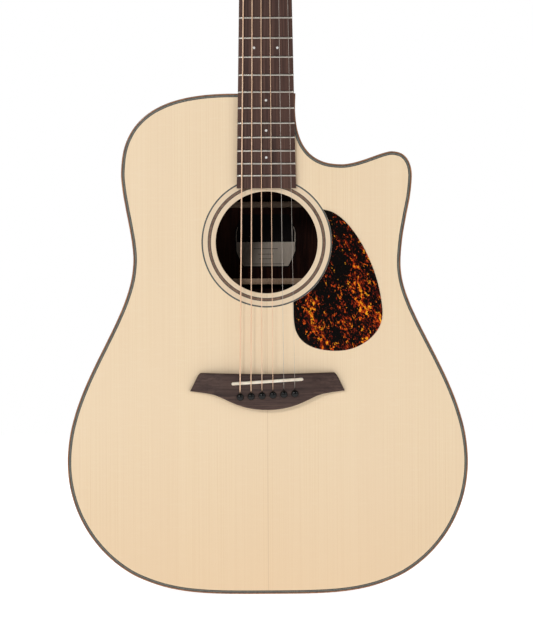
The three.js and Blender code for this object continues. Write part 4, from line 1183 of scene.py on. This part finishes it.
def string_ramp(number):
    """The sloping cut that lets a string run down from the saddle into its hole."""
    x, z = pin_place(number)
    half = string_radius(number) + 0.25
    far, floor, top = z + 11, -5.6, -12
    profile = [(far, -9.2), (z + SLOT_REACH, floor), (z, floor), (z, top), (far, top)]
    return skin([[[px, y, pz] for pz, y in profile] for px in (x - half, x + half)])


def saddle_shape(grow, top, bottom):
    """A bar with round ends along the saddle's slant, between two levels."""
    half = SADDLE_WIDTH / 2 + grow
    straight = SADDLE_HALF - SADDLE_WIDTH / 2
    outline = np.concatenate([arc(straight, 0, half, -90, 90, 8), arc(-straight, 0, half, 90, 270, 8)])
    return moved(plate(outline, top, bottom), slanted)


def slanted(points):
    turn = atan(SADDLE_SLOPE)
    x = points[:, 0] * cos(turn) - points[:, 2] * sin(turn)
    z = points[:, 0] * sin(turn) + points[:, 2] * cos(turn) + SADDLE_Z
    return np.stack([x, points[:, 1], z], 1)


def build_saddle():
    half, top_round = SADDLE_WIDTH / 2, 1.1
    rows = []
    for x in SADDLE_HALF * np.sin(np.linspace(-pi / 2, pi / 2, 61)):
        beyond = max(0, abs(x) - (SADDLE_HALF - half)) / half
        width = max(half * sqrt(max(1 - beyond * beyond, 0)), 0.05)
        crest = crown(x) - SADDLE_CREST + 0.35 * beyond ** 2 + top_round
        ring = [[x, -SADDLE_FOOT, -width]]
        for k in range(13):
            a = pi * k / 12
            ring.append([x, crest - top_round * sin(a) ** 0.7, -width * cos(a)])
        rows.append(ring + [[x, -SADDLE_FOOT, width]])
    piece("saddle_bone", moved(skin(rows), slanted), "bone", "saddle", sharp=45)


PIN = {"head": 3.6, "dome": 2.0, "gap": 0.9}


def build_pins():
    foot = -BRIDGE_TOP - PIN["gap"]
    for number in STRING_NUMBERS:
        low, high = cad_box_of(f"bridge_pin_{number}")
        top, tip = low[1], high[1]
        profile = [(PIN["head"] * sin(a), top + PIN["dome"] * (1 - cos(a))) for a in quarter(8)]
        profile += [(3.55, foot - 0.35), (3.2, foot), (2.5, foot + 0.1), (2.35, foot + 0.5), (2.35, foot + 2.2),
                    (2.2, foot + 8), (1.9, tip - 1.5), (1.6, tip - 0.5), (1.0, tip), (0.02, tip)]
        piece(f"bridge_pin_{number}_ebony", lathe(profile, 36, *pin_place(number)), "black_plastic",
              f"bridge_pin_{number}", f"pin_{number}", sharp=50)


# ---------------------------------------------------------------- strings and tuners

POST = {"radius": 2.9, "waist": 2.3, "top": -15.0}
WINDING_Y = -8.5
THICK_STRING = 0.3


def winding(number):
    """The string's turns round its post, from where it meets the post to its cut end, in the head's plane."""
    tuner = TUNERS[number]
    centres, radius = STRINGS[number]
    around = POST["waist"] + radius + 0.1
    nut = to_head(centres[1])
    x, v, side = tuner["x"], tuner["v"], tuner["side"]
    away = x - nut[0], v - nut[2]
    start = atan2(away[1], away[0]) + pi - side * acos(around / float(np.hypot(*away)))
    turns = 2.6 if radius > THICK_STRING else 4.6
    steps = int(turns * 28)
    points = []
    for k in range(steps + 1):
        a = start - side * 2 * pi * turns * k / steps
        y = WINDING_Y - 2.04 * radius * turns * k / steps
        points.append([x + around * cos(a), y, v + around * sin(a)])
    end = np.array(points[-1])
    through = np.array([x, end[1], v])
    points += [end + (through - end) * share + (0, -radius, 0) for share in (0.4, 2.5)]
    return np.array(points)


def build_strings():
    for number in STRING_NUMBERS:
        centres, radius = STRINGS[number]
        coil = winding(number)
        paint = "plain_string" if number < 3 else "bronze"
        run = [from_head(coil[0]), *centres[1:5], centres[4] + (0, 2.0, 1.0)]
        x, y, z = centres[-1] * 0.5 + centres[-2] * 0.5
        ball = lathe_x([(0.9, x - 1.9), (1.9, x - 1.9), (1.9, x + 1.9), (0.9, x + 1.9)], 20, y, z)
        piece(f"string_{number}_run", tube(rounded_path(run, 2.2), radius), paint, f"string_{number}", sharp=60)
        piece(f"string_{number}_ball", ball, "bronze")
        head_piece(f"string_{number}_winding", tube(coil, radius, 10), paint, None, f"post_{number}", sharp=60)


CASE = {"half": 8.2, "below": 7, "above": 11.8, "corner": 3.6, "proud": 4.7}
DOME = {"half": 5.4, "below": 4.2, "above": 8.6, "corner": 3.0, "proud": 5.0}
BEARING = ((2.9, 7.4), (2.9, 9.6), (2.4, 10.2), (2.4, 10.6))  # radius and reach from the post's axis


def case_outline(x, v, size):
    return rounded_box(x - size["half"], x + size["half"], v - size["below"], v + size["above"], size["corner"])


def build_tuners():
    face, top = HEAD["thickness"], -HEAD["plate"]
    for number, tuner in TUNERS.items():
        x, v, side, middle, worm_v = (tuner[key] for key in ("x", "v", "side", "y", "worm_v"))
        case = plate(case_outline(x, v, CASE), face + 0.1, middle + CASE["proud"], 0.5, 1.9, 6)
        dome = plate(case_outline(x, v, DOME), middle + 4.2, middle + DOME["proud"], back_round=0.6)
        bearing = lathe_x([(r, x + side * reach) for r, reach in BEARING], 28, middle, worm_v)
        barrel = lathe([(4.8, face + 0.6), (4.8, top - 0.4)], 36, x, v)
        washer = plate(circle(6.9, 40, x, v), top, top - 0.55, back_round=0.2)
        nut = plate(circle(6.2, 6, x, v), top - 0.55, top - 2.35, back_round=0.35, steps=3)
        collar = lathe([(4.4, top - 2.35), (4.4, top - 2.6), (3.6, top - 2.9), (3.1, top - 2.9)], 36, x, v)
        for name, shape, paint, node, sharp in (
            ("case", joined(case, bearing, barrel), "chrome", f"tuner_housing_{number}", 36),
            ("case_plate", dome, "chrome", None, 36),
            ("bushing", joined(washer, nut, collar), "chrome", None, 30),
            ("case_screw", screw(x, middle + 4.9, v + 2.2, 1.7, facing=1), "steel", None, 32),
        ):
            head_piece(f"tuner_{name}_{number}", shape, paint, node, sharp=sharp)
        build_post(number, x, v, middle)
        build_knob(number, x, worm_v, middle, side)


GEAR = {"teeth": 12, "module": 0.65, "depth": 0.42, "half_width": 1.2, "worm_radius": 2.6}


def build_post(number, x, v, middle):
    top, r = POST["top"], POST["radius"]
    lip = 0.6
    profile = [(0.02, middle + 1.2), (r, middle + 1.2), (r, top + 8.6)]
    for t in np.arange(1, 12) / 12:
        profile.append((r - (r - POST["waist"]) * sin(pi * t) ** 0.6, top + 8.6 - 6.2 * t))
    profile += [(r, top + 2.3), (r, top + lip)]
    profile += [(r - lip + lip * cos(a), top + lip - lip * sin(a)) for a in quarter(5)[1:]]
    profile += [(1.6, top), (1.4, top + 0.25), (0.02, top + 0.25)]
    teeth, half = GEAR["teeth"], GEAR["half_width"]
    angles = np.arange(teeth * 8) * 2 * pi / (teeth * 8)
    radii = teeth * GEAR["module"] / 2 + GEAR["depth"] * np.cos(teeth * (angles - pi / 2))
    outline = np.stack([x + radii * np.cos(angles), v + radii * np.sin(angles)], 1)
    wheel = plate(outline, middle - half, middle + half)
    head_piece(f"tuner_post_{number}_turned", joined(lathe(profile, 36, x, v), wheel), "chrome",
               f"tuner_post_{number}", f"post_{number}", sharp=36)


BUTTON = {"near": 17.0, "far": 32.0, "half_height": 9.5, "half_thick": 3.5, "round": 2.7}


def build_knob(number, x, worm_v, middle, side):
    pitch = pi * GEAR["module"]
    half = 1.3 * pitch
    rows = []
    for along in np.linspace(-half, half, 53):
        ring = []
        for i in range(24):
            a = 2 * pi * i / 24
            radius = GEAR["worm_radius"] + GEAR["depth"] * cos(2 * pi * along / pitch - a)
            ring.append([x + along, middle - radius * sin(a), worm_v + radius * cos(a)])
        rows.append(ring)
    near, far, thick = BUTTON["near"], BUTTON["far"], BUTTON["half_thick"]
    shaft = lathe_x([(1.6, x + side * (half - 0.5)), (1.6, x + side * (near + 1.0))], 24, middle, worm_v)
    beads = ((1.7, 12.0), (2.6, 12.3), (2.6, 13.4), (2.1, 14.0), (2.1, 15.2), (3.0, 16.4), (3.2, 18.0))
    collar = lathe_x([(r, x + side * reach) for r, reach in beads], 28, middle, worm_v)
    outline = []
    for i in range(64):
        c, s = cos(2 * pi * i / 64), sin(2 * pi * i / 64)
        px = abs(c) ** 0.86 * copysign(1, c) * (far - near) / 2
        pz = abs(s) ** 0.86 * copysign(1, s) * BUTTON["half_height"] * (1 + 0.06 * side * c)
        outline.append([x + side * (near + far) / 2 + px, worm_v + pz])
    button = plate(np.array(outline), middle - thick, middle + thick, BUTTON["round"], BUTTON["round"], 8)
    head_piece(f"tuner_knob_{number}_button", joined(skin(rows), shaft, collar, button), "chrome",
               f"tuner_knob_{number}", f"knob_{number}", sharp=40)


# ---------------------------------------------------------------- what stays as it is in the frame


def keep_cad_nodes():
    """Braces, blocks, plates, the nut and the truss rod keep their CAD shape, with softened edges."""
    slots = {s["node"]: s["material_slot"] for s in frame["record"]["subparts"]}
    for name, made in frame["nodes"].items():
        if made.hide_render:
            continue
        made.data.materials.clear()
        made.data.materials.append(PAINTS[slots[name]])
        made.modifiers.new("weld", "WELD").merge_threshold = 1e-6
        soften = made.modifiers.new("soften", "BEVEL")
        soften.width = (0.25 if name in ("nut", "truss_nut", "truss_rod") else 0.7) * MM
        soften.segments = 2
        soften.limit_method = "ANGLE"
        soften.angle_limit = radians(30)
        made.data.shade_smooth()
        made.data.set_sharp_from_angle(angle=radians(30))


# ---------------------------------------------------------------- the studio

MIDDLE = (0, 0, -0.55)
WORLD_LIGHT = 0.06
LIGHTS = [
    ("key", (-2.1, -2.1, 0.4), (1.2, 1.6), 11.4),
    ("fill", (2.1, -2.1, 0.4), (1.2, 1.6), 15.6),
    ("front", (-0.85, -2.7, 0.4), (0.35, 0.35), 21),
    ("rear", (-1.4, 2.8, 0.8), (1.6, 1.6), 40),
    ("rear_fill", (2.2, 2.2, 0.2), (1.4, 1.4), 22),
]
FLOOR = {"half": 4000, "corner": 1500, "thick": 20, "gap": 0.6}


def build_studio():
    half = FLOOR["half"]
    floor = mesh_object("studio_floor", plate(rounded_box(-half, half, -half, half, FLOOR["corner"], 12), 0,
                                              -FLOOR["thick"]))
    floor.rotation_euler = (radians(90), 0, 0)
    floor.location = (0, 0, (TAIL_Z - FLOOR["gap"]) * MM)
    p = Paint("studio_floor", Roughness=0.9, Emission_Color=(1, 1, 1, 1), Emission_Strength=0.97)
    weave = p.noise(p.scaled(0.02, 0.02, 0.02), detail=2.0)
    p.finish(p.ramp(weave, (0.3, (180, 180, 180)), (0.7, (188, 188, 188))))
    floor.data.materials.append(p.material)
    world = bpy.data.worlds.new("studio")
    bpy.context.scene.world = world
    world.use_nodes = True
    tree = world.node_tree
    background = tree.nodes["Background"]
    rays = tree.nodes.new("ShaderNodeLightPath")
    mixed = tree.nodes.new("ShaderNodeMapRange")
    mixed.inputs["To Min"].default_value = WORLD_LIGHT
    mixed.inputs["To Max"].default_value = 1.0
    tree.links.new(rays.outputs["Is Camera Ray"], mixed.inputs["Value"])
    tree.links.new(mixed.outputs["Result"], background.inputs["Strength"])
    background.inputs["Color"].default_value = (1, 1, 1, 1)
    for name, place, size, power in LIGHTS:
        data = bpy.data.lights.new(name, "AREA")
        data.shape = "RECTANGLE"
        data.size, data.size_y = size
        data.energy = power
        light = bpy.data.objects.new(name, data)
        light.location = place
        light.rotation_euler = (Vector(MIDDLE) - Vector(place)).to_track_quat("-Z", "Y").to_euler()
        bpy.context.scene.collection.objects.link(light)


CAMERA = {"lens": 169.5, "sensor": 36, "place": (-0.00056, -3.0, -0.5852), "roll": 0.3}


def build_camera():
    scene = bpy.context.scene
    data = bpy.data.cameras.new("camera")
    data.lens = CAMERA["lens"]
    data.sensor_width = CAMERA["sensor"]
    camera = bpy.data.objects.new("camera", data)
    camera.location = CAMERA["place"]
    camera.rotation_euler = Euler((radians(90), radians(CAMERA["roll"]), 0))
    scene.collection.objects.link(camera)
    scene.camera = camera
    scene.view_settings.view_transform = "Standard"


build_camera()
build_soundboard()
build_rosette()
build_edges()
build_sides()
build_back()
build_linings()
build_label()
build_pickguard()
build_fingerboard()
build_frets()
build_position_dots()
build_neck()
build_head()
build_bridge()
build_saddle()
build_pins()
build_strings()
build_tuners()
keep_cad_nodes()
build_studio()
